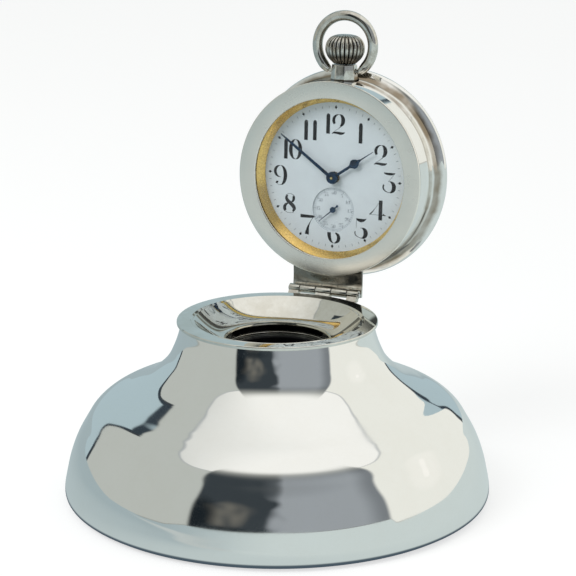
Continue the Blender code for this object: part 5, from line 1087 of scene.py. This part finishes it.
class INKSTAND_OT_crown(bpy.types.Operator):
    """The fluted onion crown"""

    bl_idname = "inkstand.crown"
    bl_label = "Crown"

    def execute(self, context):
        # Radius R(h) - depth R(h)/R_max (1 - |sin(n a / 2)|^0.7): round ribs with sharp valleys
        sizes = context.scene.inkstand_sizes
        profile = smooth(CROWN_SHARES, 46) * (CROWN_RADIUS, CROWN_HEIGHT)
        profile[-1, 0] = 0.0
        ribs = sizes.crown_ribs
        a = np.linspace(0, 2 * math.pi, ribs * 12, endpoint=False)
        fade = np.clip(profile[:, 0] / (7.6 * MM) * 1.35 - 0.32, 0, 1)[:, None]
        radius = profile[:, 0, None] - sizes.rib_depth * fade * flute_depth(ribs, a)[None]
        grid = around(np.maximum(radius, 0), a, profile[:, 1, None])
        where = in_lid(0, CROWN_FOOT, STEM_DEPTH, **UPRIGHT)
        item = piece("fluted_crown", [shell(to_model(grid, where))], finish(context, "crown silver"),
                     "crown", ("crown",), sharp=60.0)
        drilled(item, rod(1.3, -1.0, 5.6, where, 32))

        # Own UV: U is how deep a corner lies in its flute, and V its height as a share
        mesh = item.data
        at = np.array([mesh.vertices[loop.vertex_index].co for loop in mesh.loops]) - where[0]
        x, y, up = (at @ where[1].T).T
        deep = flute_depth(ribs, np.arctan2(y, x))
        layer = mesh.uv_layers.new(name="flutes")
        layer.data.foreach_set("uv", np.column_stack([deep, up / CROWN_HEIGHT]).ravel())
        return {"FINISHED"}


# The dial's printing: strokes in shares of the numeral height, as (x, y, half width)

HAIRLINE = 0.007
STEM = 0.098


def bow_stroke(x, y, outer, inner, start, end, shift=0.0):
    """A bowl's stroke between two ovals about the same middle: (X cos t, Y sin t) for each, from start to end
    degrees, as its middle line and half its width. The inner oval may be shifted sideways."""
    t = np.radians(np.linspace(start, end, 28))
    big = np.stack([x + outer[0] * np.cos(t), y + outer[1] * np.sin(t)], axis=1)
    small = np.stack([x + shift + inner[0] * np.cos(t), y + inner[1] * np.sin(t)], axis=1)
    half = np.maximum(np.linalg.norm(big - small, axis=1) / 2, HAIRLINE)
    return np.column_stack([(big + small) / 2, half])


def pen_stroke(points, count=26):
    """A stroke through a few chosen points."""
    made = smooth(points, count)
    made[:, 2] = np.maximum(made[:, 2], HAIRLINE)
    return made


def numeral_strokes():
    """The ten digits, in thick upright strokes with hairlines that nearly vanish."""
    one = [pen_stroke([(0, 0, STEM), (0, 0.3, STEM), (0, 0.6, STEM), (0, 0.90, STEM), (0.035, 1.0, 0.05)])]
    zero = [bow_stroke(0, 0.5, (0.36, 0.5), (0.165, 0.487), -92, 92),
            bow_stroke(0, 0.5, (0.36, 0.5), (0.165, 0.487), 88, 272)]
    two = [
        bow_stroke(0.03, 0.70, (0.32, 0.30), (0.115, 0.285), -72, 96),
        bow_stroke(0.03, 0.70, (0.37, 0.30), (0.215, 0.287), 90, 218),
        pen_stroke([(0.17, 0.45, 0.03), (0.02, 0.30, 0.010), (-0.22, 0.13, HAIRLINE),
                    (-0.33, 0.03, HAIRLINE)]),
        pen_stroke([(-0.34, 0.02, 0.012), (-0.24, 0.07, 0.040), (-0.06, 0.075, 0.060), (0.14, 0.055, 0.068),
                    (0.29, 0.085, 0.040), (0.34, 0.14, 0.008)]),
    ]
    three = [
        pen_stroke([(-0.30, 0.99, 0.008), (-0.22, 0.94, 0.045), (-0.02, 0.925, 0.062), (0.16, 0.935, 0.052),
                    (0.30, 0.985, 0.010)]),
        pen_stroke([(0.29, 0.97, HAIRLINE), (0.12, 0.75, HAIRLINE), (-0.04, 0.56, HAIRLINE)]),
        bow_stroke(0.0, 0.27, (0.36, 0.285), (0.145, 0.27), -105, 100),
        bow_stroke(0.0, 0.25, (0.36, 0.25), (0.28, 0.235), 150, 262),
    ]
    four = [
        pen_stroke([(0.13, 0, STEM), (0.13, 0.35, STEM), (0.13, 0.7, STEM), (0.13, 1.0, STEM)]),
        pen_stroke([(-0.46, 0.26, 0.006), (-0.38, 0.31, 0.030), (-0.29, 0.40, 0.022),
                    (-0.10, 0.66, HAIRLINE), (0.10, 0.97, HAIRLINE)]),
        pen_stroke([(-0.46, 0.255, HAIRLINE), (0.0, 0.255, HAIRLINE), (0.45, 0.255, HAIRLINE)]),
        pen_stroke([(0.26, 0.31, 0.045), (0.33, 0.275, 0.028), (0.43, 0.255, 0.006)]),
    ]
    five = [
        pen_stroke([(-0.28, 0.99, 0.010), (-0.20, 0.93, 0.058), (-0.03, 0.895, 0.088), (0.13, 0.925, 0.060),
                    (0.26, 1.0, 0.008)]),
        pen_stroke([(-0.275, 0.98, HAIRLINE), (-0.275, 0.75, HAIRLINE), (-0.275, 0.50, HAIRLINE)]),
        bow_stroke(0.0, 0.26, (0.36, 0.265), (0.13, 0.25), -100, 100),
        bow_stroke(0.0, 0.25, (0.36, 0.24), (0.31, 0.225), 162, 262),
    ]
    six = [bow_stroke(0, 0.5, (0.36, 0.5), (0.165, 0.487), 176, 272),
           bow_stroke(0.0, 0.27, (0.36, 0.27), (0.175, 0.258), -92, 74)]
    seven = [
        pen_stroke([(-0.42, 0.92, 0.085), (-0.25, 0.92, 0.082), (0.0, 0.925, 0.075), (0.22, 0.93, 0.066),
                    (0.36, 0.95, 0.030)]),
        pen_stroke([(0.33, 0.97, HAIRLINE), (0.20, 0.78, 0.010), (0.10, 0.60, 0.022), (0.0, 0.33, 0.062),
                    (-0.05, 0.0, 0.115)]),
    ]
    eight = [
        pen_stroke([(-0.13, 0.90, 0.030), (-0.20, 0.78, 0.070), (-0.13, 0.64, 0.090), (0.03, 0.51, 0.095),
                    (0.19, 0.37, 0.100), (0.25, 0.23, 0.085), (0.17, 0.09, 0.035)]),
        bow_stroke(0.0, 0.77, (0.28, 0.23), (0.245, 0.215), 20, 150),
        bow_stroke(0.0, 0.77, (0.285, 0.23), (0.14, 0.21), -62, 30),
        bow_stroke(0.0, 0.26, (0.37, 0.26), (0.20, 0.245), 100, 215),
        bow_stroke(0.0, 0.26, (0.36, 0.26), (0.335, 0.245), 205, 310),
    ]
    nine = [
        bow_stroke(0.0, 0.70, (0.37, 0.30), (0.215, 0.287), 86, 276),
        bow_stroke(0, 0.5, (0.37, 0.5), (0.175, 0.487), -70, 92),
        pen_stroke([(0.12, 0.03, 0.02), (-0.04, 0.005, HAIRLINE), (-0.17, 0.04, 0.010)]),
        pen_stroke([(-0.26, 0.10, 0.01), (-0.21, 0.12, 0.055), (-0.15, 0.16, 0.045), (-0.13, 0.20, 0.008)]),
    ]
    return [zero, one, two, three, four, five, six, seven, eight, nine]


HOURS = (
    ("12", (-2.95, 19.75), (1.15, 19.75)), ("1", (10.05, 17.10)), ("2", (18.15, 9.70)),
    ("3", (21.90, -0.05)), ("4", (17.85, -10.70)), ("5", (11.45, -18.10)), ("6", (0.55, -21.05)),
    ("7", (-10.05, -18.75)), ("8", (-17.65, -11.35)), ("9", (-21.75, -1.05)),
    ("10", (-19.75, 9.05), (-15.85, 9.15)), ("11", (-11.75, 16.70), (-8.20, 16.85)),
)
DIAL_FACE = 5.9 * MM
SUBDIAL_FACE = 6.3 * MM
SECONDS_RING, SECONDS_HEIGHT, SECONDS_SPREAD = 6.35 * MM, 1.30 * MM, 0.92 * MM


def printed(digit, x, y, height, face, where=LID):
    """One digit's shells, its middle at (x, y): each stroke is a flat bar along its middle line."""
    shells = []
    section = np.array([(-1, -0.5), (1, -0.5), (1, 0.5), (-1, 0.5)])
    for stroke in numeral_strokes()[int(digit)]:
        if digit == "6":
            stroke = stroke[stroke[:, 1] < 0.60]
        path = np.column_stack([x + stroke[:, 0] * height, y + (stroke[:, 1] - 0.5) * height,
                                np.full(len(stroke), face - PRINT_THICKNESS / 2)])
        sizes = np.column_stack([stroke[:, 2] * height, np.full(len(stroke), PRINT_THICKNESS)])
        shells.append(carried(path, (0, 0, 1), section, sizes, where))
    return shells


class INKSTAND_OT_dial(bpy.types.Operator):
    """The enamel dial with its sunk seconds dial, and their printing"""

    bl_idname = "inkstand.dial"
    bl_label = "Dial"

    def execute(self, context):
        sizes = context.scene.inkstand_sizes
        black, grey = finish(context, "dial black"), finish(context, "dial grey")
        face = rounded([(2.15, 5.9, 0.12), (30.0, 5.9, 0.25), (30.0, 6.9, 0.1), (2.15, 6.9)])
        dial = lathe(context, "dial_plate", face, 160, "dial enamel", "dial", "enamel")
        drilled(dial, rod(8.34, 5.0, 7.6, SUBDIAL, 128))
        small = rounded([(0.75, 6.3, 0.05), (8.3, 6.3, 0.03), (8.3, 6.9, 0.05), (0.75, 6.9)])
        lathe(context, "seconds_plate", small, 128, "dial enamel", "seconds_dial", "enamel", "lid", SUBDIAL)

        near, far = DIAL_FACE - PRINT_THICKNESS, DIAL_FACE + PRINT_THICKNESS
        shells = []
        for text, *places in HOURS:
            for digit, (x, y) in zip(text, places):
                shells += printed(digit, x * MM, y * MM, sizes.numeral_height, DIAL_FACE)
        hours = np.radians(np.arange(12) * 30.0)
        dot = np.array([(0, near), (0.47 * MM, near), (0.47 * MM, far), (0, far)])
        for angle in hours:
            x, y = sizes.hour_ring * math.sin(angle), sizes.hour_ring * math.cos(angle)
            shells.append(turned(dot, in_lid(x, y, 0), 20))
        shells += ticks(hours, sizes.hour_ring - 0.80 * MM, sizes.hour_ring + 0.80 * MM, 0.08 * MM, near,
                        far, LID)
        piece("hour_numerals", shells, black, "lid")

        minutes = np.radians(np.arange(60)[np.arange(60) % 5 != 0] * 6.0)
        shells = ticks(minutes, sizes.hour_ring - 0.42 * MM, sizes.hour_ring + 0.42 * MM, 0.10 * MM, near,
                       far, LID)
        piece("minute_track", shells, grey, "lid")

        near, far = SUBDIAL_FACE - PRINT_THICKNESS, SUBDIAL_FACE + PRINT_THICKNESS
        seconds = np.radians(np.arange(60) * 6.0)
        shells = ticks(seconds, 7.40 * MM, 7.95 * MM, 0.06 * MM, near, far, SUBDIAL)
        shells += ticks(seconds[::5], 7.25 * MM, 8.05 * MM, 0.10 * MM, near, far, SUBDIAL)
        for radius in (7.36, 7.93):
            ring = np.array([(radius, near / MM), (radius + 0.06, near / MM), (radius + 0.06, far / MM),
                             (radius, far / MM)])
            shells.append(turned(ring * MM, SUBDIAL, 120))
        for i, angle in enumerate(seconds[::5]):
            text = str(5 * i or 60)
            x, y = SECONDS_RING * math.sin(angle), SECONDS_RING * math.cos(angle) - SUBDIAL_DROP
            for k, digit in enumerate(text):
                aside = (k - (len(text) - 1) / 2) * SECONDS_SPREAD
                shells += printed(digit, x + aside, y, SECONDS_HEIGHT, SUBDIAL_FACE)
        piece("seconds_track", shells, grey, "lid")
        return {"FINISHED"}


# Each hand: its clock angle, its hub's inner and outer radius, how far back it lies, its middle, and half its
# width at distances from the middle; in millimetres, but the middle in metres
HANDS = {
    "minute": (305.5, (0.75, 2.1), 3.2, (0.0, 0.0),
               ((1.2, 0.62), (3.0, 0.60), (16.0, 0.52), (22.0, 0.36), (25.6, 0.16))),
    "hour": (55.4, (1.45, 2.3), 4.1, (0.0, 0.0),
             ((1.5, 0.5), (8.1, 0.5), (8.81, 0.96), (9.6, 1.63), (10.56, 1.75), (11.44, 1.26), (12.22, 0.58),
              (13.6, 0.24), (19.1, 0.10))),
    "seconds": (229.0, (0.0, 1.1), 5.1, (0.0, -SUBDIAL_DROP),
                ((-2.75, 0.10), (-2.55, 0.40), (-2.1, 0.45), (-1.75, 0.20), (-1.2, 0.34), (0.0, 0.25),
                 (4.0, 0.16), (7.2, 0.10))),
}
HAND_THICKNESS = 0.4


def hand_shells(degrees, hub, near, middle, outline):
    """A hand: its blade is a bar with eased front edges carried along the clock angle, and its hub is a
    turned ring."""
    places = fine(np.array(outline) * MM, 60)
    angle = math.radians(degrees)
    path = np.column_stack([middle[0] + places[:, 0] * math.sin(angle),
                            middle[1] + places[:, 0] * math.cos(angle),
                            np.full(60, near * MM + HAND_THICKNESS * MM / 2)])
    section = np.array([(-1.0, 0.5), (-1.0, -0.15), (-0.62, -0.5), (0.62, -0.5), (1.0, -0.15), (1.0, 0.5)])
    sizes = np.column_stack([places[:, 1], np.full(60, HAND_THICKNESS * MM)])
    inner, outer = hub
    far = near + HAND_THICKNESS
    ring = rounded([(inner, near, 0.05), (outer, near, 0.16), (outer, far), (inner, far)])
    return [carried(path, (0, 0, 1), section, sizes, LID), turned(ring, in_lid(*middle, 0), 64)]


class INKSTAND_OT_hands(bpy.types.Operator):
    """The blued minute, hour and seconds hands"""

    bl_idname = "inkstand.hands"
    bl_label = "Hands"

    def execute(self, context):
        blue = finish(context, "blued steel")
        for body, hand in HANDS.items():
            piece(f"{body}_blade", hand_shells(*hand), blue, body, (f"{body}_hand",))
        return {"FINISHED"}


INNER_FINISHES = {
    "cast pitch": ("stand_filling",),
    "turned wood": ("bottom_board",),
    "polished steel": (
        "winding_stem", "winding_pinion", "pallet_lever", "barrel_arbor", "ratchet_wheel", "crown_wheel",
        "click", "cannon_pinion", "escape_wheel",
    ),
    "frosted gilt": ("main_plate", "barrel_bridge", "train_bridge", "balance_cock"),
    "wheel brass": (
        "barrel", "barrel_cover", "centre_wheel", "third_wheel", "fourth_wheel", "hour_wheel", "minute_wheel",
        "balance_wheel",
    ),
    "blued steel": (
        "mainspring", "hairspring", "barrel_bridge_screw_left", "barrel_bridge_screw_right",
        "train_bridge_screw_right", "train_bridge_screw_low", "balance_cock_screw", "crown_wheel_screw",
        "click_screw",
    ),
}


class INKSTAND_OT_movement(bpy.types.Operator):
    """Finishes on the inner pieces of the frame: frosted gilt plates, brass wheels, steel and blued screws"""

    bl_idname = "inkstand.movement"
    bl_label = "Movement Finishes"

    def execute(self, context):
        for name, nodes in INNER_FINISHES.items():
            material = finish(context, name)
            for node in nodes:
                for slot in frame["nodes"][node].material_slots:
                    slot.material = material
        return {"FINISHED"}


# The stage

def tent_direction(tree):
    """The ray's own direction and its azimuth and elevation, in degrees: 0 is the front, and 90 the right."""
    ray = put(tree, "ShaderNodeSeparateXYZ",
              {0: put(tree, "ShaderNodeTexCoord").outputs["Generated"]}).outputs
    azimuth = calc(tree, "ARCTAN2", ray[0], times(tree, ray[1], -1.0))
    elevation = calc(tree, "ARCSINE", ray[2])
    degrees = 180.0 / math.pi
    return ray, times(tree, azimuth, degrees), times(tree, elevation, degrees)


def over_azimuth(tree, azimuth, places, low=-10.0, high=90.0, handles="VECTOR"):
    """A value in degrees that runs from place to place, each one (azimuth, value), straight or on a curve."""
    share = calc(tree, "DIVIDE", plus(tree, azimuth, 180.0), 360.0)
    node = put(tree, "ShaderNodeFloatCurve", {1: share})
    curve = node.mapping.curves[0]
    spots = [((turn + 180) / 360, (value - low) / (high - low)) for turn, value in places]
    curve.points[0].location, curve.points[-1].location = spots[0], spots[-1]
    for spot in spots[1:-1]:
        curve.points.new(*spot)
    for point in curve.points:
        point.handle_type = handles
    node.mapping.update()
    return plus(tree, times(tree, node.outputs[0], high - low), low)


def soft_patch(tree, azimuth, elevation, middle, reach, strength=1.0):
    """A round soft patch in the tent: strength at its middle, nothing past its reach, both (azimuth,
    elevation)."""
    across = calc(tree, "DIVIDE", calc(tree, "SUBTRACT", azimuth, middle[0]), reach[0])
    up = calc(tree, "DIVIDE", calc(tree, "SUBTRACT", elevation, middle[1]), reach[1])
    far = plus(tree, times(tree, across, across), times(tree, up, up))
    return step(tree, far, 0.1, 1.0, strength, 0.0)


SEAM = (
    (-180, 50), (-150, 47), (-128, 52), (-114, 57), (-98, 59), (-80, 57), (-52, 51), (-33, 47), (75, 46),
    (100, 49), (124, 54), (144, 57), (160, 56), (170, 54), (180, 50),
)
HEM = (
    (-180, -1.8), (-112, -1.8), (-60, -1.0), (-36, 1.0), (-25, 4.0), (24, 6.2), (86, 4.2), (89, 0.0),
    (120, -1.2), (150, -1.8), (180, -1.8),
)
HEM_BEHIND = HEM[0][1]
EDGE = 0.6
OPEN_FRONT = (-23.0, 86.0)
CAP_TOP = 41.0
LAMP_SPOT = (120.0, 20.0)
LAMP_GLOW = (1.0, 0.99, 0.95)
GAP_SHADE = (0.012, 0.020, 0.032)
DEEP_OPENING = (0.006, 0.010, 0.014)
FAR_PAINTED_LIGHT = (0.52, 0.575, 0.575)
CONTACT_SHADE = (0.07, 0.10, 0.13)
PALE_FLOOR = (0.40, 0.40, 0.40, 1.0)
TABLE_RADIUS = 2.6
LAMP_PLACE = (-0.45, -0.75, 0.95)
CAMERA_PLACE = (0.2792, -0.6130)
CAMERA_TURN = (24.17, 15.15, 0.11)


def tent_opening(tree, studio, azimuth, elevation):
    """What shows through the open front: a dark, clouded room, with a pale grey haze on the right of it."""
    at = put(tree, "ShaderNodeTexCoord").outputs["Generated"]
    cloud = noise(tree, at, 4.2, 1.0, 0.4)
    drift = times(tree, calc(tree, "SUBTRACT", cloud, 0.5), 26.0)
    beyond = plus(tree, azimuth, drift)
    haze = times(tree, step(tree, beyond, 17.0, 28.0), step(tree, elevation, 34.0, 50.0, 1.0, 0.45))
    edge = times(tree, step(tree, azimuth, 70.0, 84.0), 0.45)
    seen = blend_colour(tree, haze, studio.opening, studio.dim)
    seen = blend_colour(tree, edge, seen, studio.opening)
    dull = times(tree, soft_patch(tree, beyond, elevation, (-3.0, 19.0), (16.0, 13.0)),
                 step(tree, cloud, 0.22, 0.62))
    seen = blend_colour(tree, dull, seen, studio.dull)
    black = times(tree, soft_patch(tree, azimuth, elevation, (-19.0, 16.0), (13.0, 18.0)), 0.85)
    low = soft_patch(tree, beyond, elevation, (0.0, 3.0), (24.0, 8.0), 0.75)
    seen = blend_colour(tree, most(tree, black, low), seen, DEEP_OPENING)
    top = times(tree, step(tree, elevation, 38.0, 62.0), 0.7)
    return blend_colour(tree, top, seen, studio.cream)


def tent_world(studio):
    """White to the camera. To everything else a tent of cloth with an open front: a shaded left side, a lit
    right side, a cool back, a bright top whose seam runs along a curve, and thin dark gaps at the two rear
    corners."""
    world = bpy.data.worlds.new("Cloth Tent")
    world.use_nodes = True
    tree = world.node_tree
    tree.nodes.clear()
    ray, azimuth, elevation = tent_direction(tree)

    # How far a direction lies inside each rear edge of the sides, in degrees. Both edges bend back half way
    # up, and above the cap the left side runs on round the back.
    bulge = times(tree, step(tree, elevation, 5.0, 22.0, 0.0, 9.0),
                  step(tree, elevation, 28.0, 48.0, 1.0, 0.3))
    past_left = plus(tree, azimuth, bulge, 107.0)
    round_back = calc(tree, "WRAP", azimuth, 210.0, -150.0)
    right_edge = plus(tree, step(tree, elevation, 5.0, 20.0, 174.0, 182.0),
                      step(tree, elevation, 19.0, 24.0, 0.0, 28.0))
    short_right = calc(tree, "SUBTRACT", right_edge, round_back)
    over_cap = times(tree, step(tree, elevation, CAP_TOP - 0.5, CAP_TOP + 0.5),
                     step(tree, azimuth, 0.0, 1.0, 1.0, 0.0))
    sides = times(tree, step(tree, past_left, -EDGE, EDGE), step(tree, short_right, -EDGE, EDGE))
    sides = most(tree, sides, over_cap)
    side_tone = blend_colour(tree, step(tree, azimuth, -10.0, 50.0), studio.shaded, studio.cream)
    wall = blend_colour(tree, sides, studio.cool, side_tone)
    seam = over_azimuth(tree, azimuth, SEAM, handles="AUTO")
    above = calc(tree, "SUBTRACT", elevation, seam)
    top_tone = blend_colour(tree, step(tree, ray[0], -0.75, 0.05), studio.ceiling_shade, studio.ceiling)
    wall = blend_colour(tree, step(tree, above, -0.35, 0.35), wall, top_tone)
    wall = blend_colour(tree, times(tree, band(tree, above, -0.6, 0.6, 0.45), 0.55), wall, studio.dim)

    # The gaps at the rear edges: the left one widens on its way up and ends in a dark cap
    width = step(tree, elevation, 26.0, 52.0, 1.3, 6.5)
    off_line = calc(tree, "DIVIDE", calc(tree, "ABSOLUTE", past_left), width)
    left = times(tree, step(tree, off_line, 0.75, 1.15, 1.0, 0.0),
                 band(tree, elevation, HEM_BEHIND, CAP_TOP, 0.8))
    cap = times(tree, band(tree, elevation, CAP_TOP - 5.0, CAP_TOP + 0.5, 0.8),
                band(tree, past_left, -16.0, 1.0, 1.5))
    right = times(tree, band(tree, short_right, -1.3, 1.3, 0.5),
                  band(tree, elevation, HEM_BEHIND, 22.0, 2.0))
    gaps = times(tree, most(tree, left, cap, right), 0.94)
    wall = blend_colour(tree, gaps, wall, GAP_SHADE)

    glow = soft_patch(tree, azimuth, elevation, LAMP_SPOT, (16.0, 13.0), 0.35)
    lamp = soft_patch(tree, azimuth, elevation, LAMP_SPOT, (3.6, 3.2), 0.9)
    wall = blend_colour(tree, most(tree, glow, lamp), wall, LAMP_GLOW)

    hole = times(tree, band(tree, azimuth, *OPEN_FRONT, 1.6), step(tree, elevation, 49.0, 63.0, 1.0, 0.0))
    wall = blend_colour(tree, hole, wall, tent_opening(tree, studio, azimuth, elevation))

    # Below the walls' hem lies the table, which reaches further up in front
    under = calc(tree, "SUBTRACT", elevation, over_azimuth(tree, azimuth, HEM))
    hem = times(tree, band(tree, under, -0.15, 0.35, 0.2), 0.55)
    wall = blend_colour(tree, times(tree, hem, sides), wall, studio.dull)
    table = blend_colour(tree, step(tree, ray[0], -0.7, 0.5), studio.table, studio.table_lit)
    wall = blend_colour(tree, step(tree, under, -0.3, 0.1), table, wall)

    tent = put(tree, "ShaderNodeBackground", {"Color": wall, "Strength": 1.0})
    white = put(tree, "ShaderNodeBackground", {"Color": (1, 1, 1, 1), "Strength": 1.0})
    seen = put(tree, "ShaderNodeLightPath").outputs["Is Camera Ray"]
    both = put(tree, "ShaderNodeMixShader", {0: seen, 1: tent.outputs[0], 2: white.outputs[0]})
    put(tree, "ShaderNodeOutputWorld", {0: both.outputs[0]})
    return world


def table_material(studio):
    """The table: to everything but the camera it glows with painted light, a pale cloth lighter on the right
    and far out in front, with painted shade close under the foot. To the camera it is lifted to white but
    keeps the shadows that fall on it."""
    material = bpy.data.materials.new("Pale Table")
    material.use_nodes = True
    tree = material.node_tree
    tree.nodes.clear()
    at = put(tree, "ShaderNodeTexCoord").outputs["Object"]
    weave = noise(tree, at, 900.0, 3.0, 0.6)
    across, back = put(tree, "ShaderNodeSeparateXYZ", {0: at}).outputs[:2]
    away = put(tree, "ShaderNodeVectorMath", {0: at}, operation="LENGTH").outputs["Value"]
    # Painted light: the cloth's glow grows lighter towards the right and far out in front.
    side = calc(tree, "ADD", step(tree, across, -0.22, 0.16), times(tree, weave, 0.06), clamp=True)
    tone = blend_colour(tree, side, studio.table, studio.table_lit)
    far = times(tree, step(tree, back, -0.42, -0.30, 1.0, 0.0), band(tree, across, -0.5, 0.0, 0.1))
    tone = blend_colour(tree, far, tone, FAR_PAINTED_LIGHT)
    # Painted shade close under the foot.
    close = step(tree, away, 0.0765, 0.0800, 1.0, 0.0)
    tone = blend_colour(tree, close, tone, CONTACT_SHADE)
    # The cloth glows with this painted colour for everything but the camera.
    cloth = put(tree, "ShaderNodeEmission", {"Color": tone})
    pale = put(tree, "ShaderNodeBsdfDiffuse", {"Color": PALE_FLOOR})
    glow = put(tree, "ShaderNodeEmission", {"Color": (1, 1, 1, 1), "Strength": 0.66})
    lifted = put(tree, "ShaderNodeAddShader", {0: pale.outputs[0], 1: glow.outputs[0]})
    seen = put(tree, "ShaderNodeLightPath").outputs["Is Camera Ray"]
    both = put(tree, "ShaderNodeMixShader", {0: seen, 1: cloth.outputs[0], 2: lifted.outputs[0]})
    put(tree, "ShaderNodeOutputMaterial", {0: both.outputs[0]})
    return material


class INKSTAND_OT_stage(bpy.types.Operator):
    """The pale table, the cloth tent, a soft lamp and the camera at the photograph's angle"""

    bl_idname = "inkstand.stage"
    bl_label = "Stage"

    def execute(self, context):
        scene, studio = context.scene, context.scene.inkstand_studio
        a = np.linspace(0, 2 * math.pi, 96, endpoint=False)
        rim = around(np.array([[TABLE_RADIUS]]), a, -0.02 * MM)[0]
        mesh = bpy.data.meshes.new("table")
        mesh.from_pydata(rim.tolist(), [], [list(range(96))])
        table = bpy.data.objects.new("table", mesh)
        mesh.materials.append(table_material(studio))
        scene.collection.objects.link(table)

        scene.world = tent_world(studio)
        lamp = bpy.data.lights.new("soft_lamp", "AREA")
        lamp.energy, lamp.size, lamp.color = studio.lamp_power, 0.7, (0.95, 0.98, 1.0)
        holder = bpy.data.objects.new("soft_lamp", lamp)
        holder.location = LAMP_PLACE
        aim = Vector((0, 0, 0.07)) - holder.location
        holder.rotation_euler = aim.to_track_quat("-Z", "Y").to_euler()
        holder.visible_glossy = False
        scene.collection.objects.link(holder)

        yaw, pitch, roll = np.radians(CAMERA_TURN)
        ahead = Vector((-math.sin(yaw) * math.cos(pitch), math.cos(yaw) * math.cos(pitch),
                        -math.sin(pitch)))
        level = Vector((math.cos(yaw), math.sin(yaw), 0))
        top = level.cross(ahead)
        right = level * math.cos(roll) + top * math.sin(roll)
        above = top * math.cos(roll) - level * math.sin(roll)
        turn = Matrix((right, above, -ahead)).transposed()
        data = bpy.data.cameras.new("camera")
        data.lens, data.sensor_width, data.sensor_fit = studio.lens, 36.0, "HORIZONTAL"
        data.clip_start, data.clip_end = 0.01, 20.0
        camera = bpy.data.objects.new("camera", data)
        camera.location = (*CAMERA_PLACE, studio.camera_height)
        camera.rotation_mode = "QUATERNION"
        camera.rotation_quaternion = turn.to_quaternion()
        scene.collection.objects.link(camera)
        scene.camera = camera
        scene.view_settings.view_transform = "Standard"
        return {"FINISHED"}


STEPS = (
    INKSTAND_OT_body, INKSTAND_OT_well, INKSTAND_OT_foot, INKSTAND_OT_hinge, INKSTAND_OT_lid,
    INKSTAND_OT_watch_case, INKSTAND_OT_pendant, INKSTAND_OT_crown, INKSTAND_OT_dial, INKSTAND_OT_hands,
    INKSTAND_OT_movement, INKSTAND_OT_stage,
)


class INKSTAND_PT_panel(bpy.types.Panel):
    """Lists the settings and the steps"""

    bl_idname = "INKSTAND_PT_panel"
    bl_label = "Desk Inkstand"
    bl_space_type = "VIEW_3D"
    bl_region_type = "UI"
    bl_category = "Inkstand"

    def draw(self, context):
        for settings in (context.scene.inkstand_sizes, context.scene.inkstand_colours,
                         context.scene.inkstand_studio):
            box = self.layout.box()
            for name in settings.__annotations__:
                box.prop(settings, name)
        for step_class in STEPS:
            self.layout.operator(step_class.bl_idname)


SETTINGS = {"inkstand_sizes": InkstandSizes, "inkstand_colours": InkstandColours,
            "inkstand_studio": InkstandStudio}


def register():
    """Registers the settings, the steps and the panel."""
    for item in (*SETTINGS.values(), *STEPS, INKSTAND_PT_panel):
        bpy.utils.register_class(item)
    for name, kind in SETTINGS.items():
        setattr(bpy.types.Scene, name, PointerProperty(type=kind))


def unregister():
    """Takes them away again."""
    for name in SETTINGS:
        delattr(bpy.types.Scene, name)
    for item in reversed((*SETTINGS.values(), *STEPS, INKSTAND_PT_panel)):
        bpy.utils.unregister_class(item)


def main():
    register()
    for step_class in STEPS:
        group, name = step_class.bl_idname.split(".")
        getattr(getattr(bpy.ops, group), name)()
    bpy.context.view_layer.update()


if __name__ == "__main__":
    main()
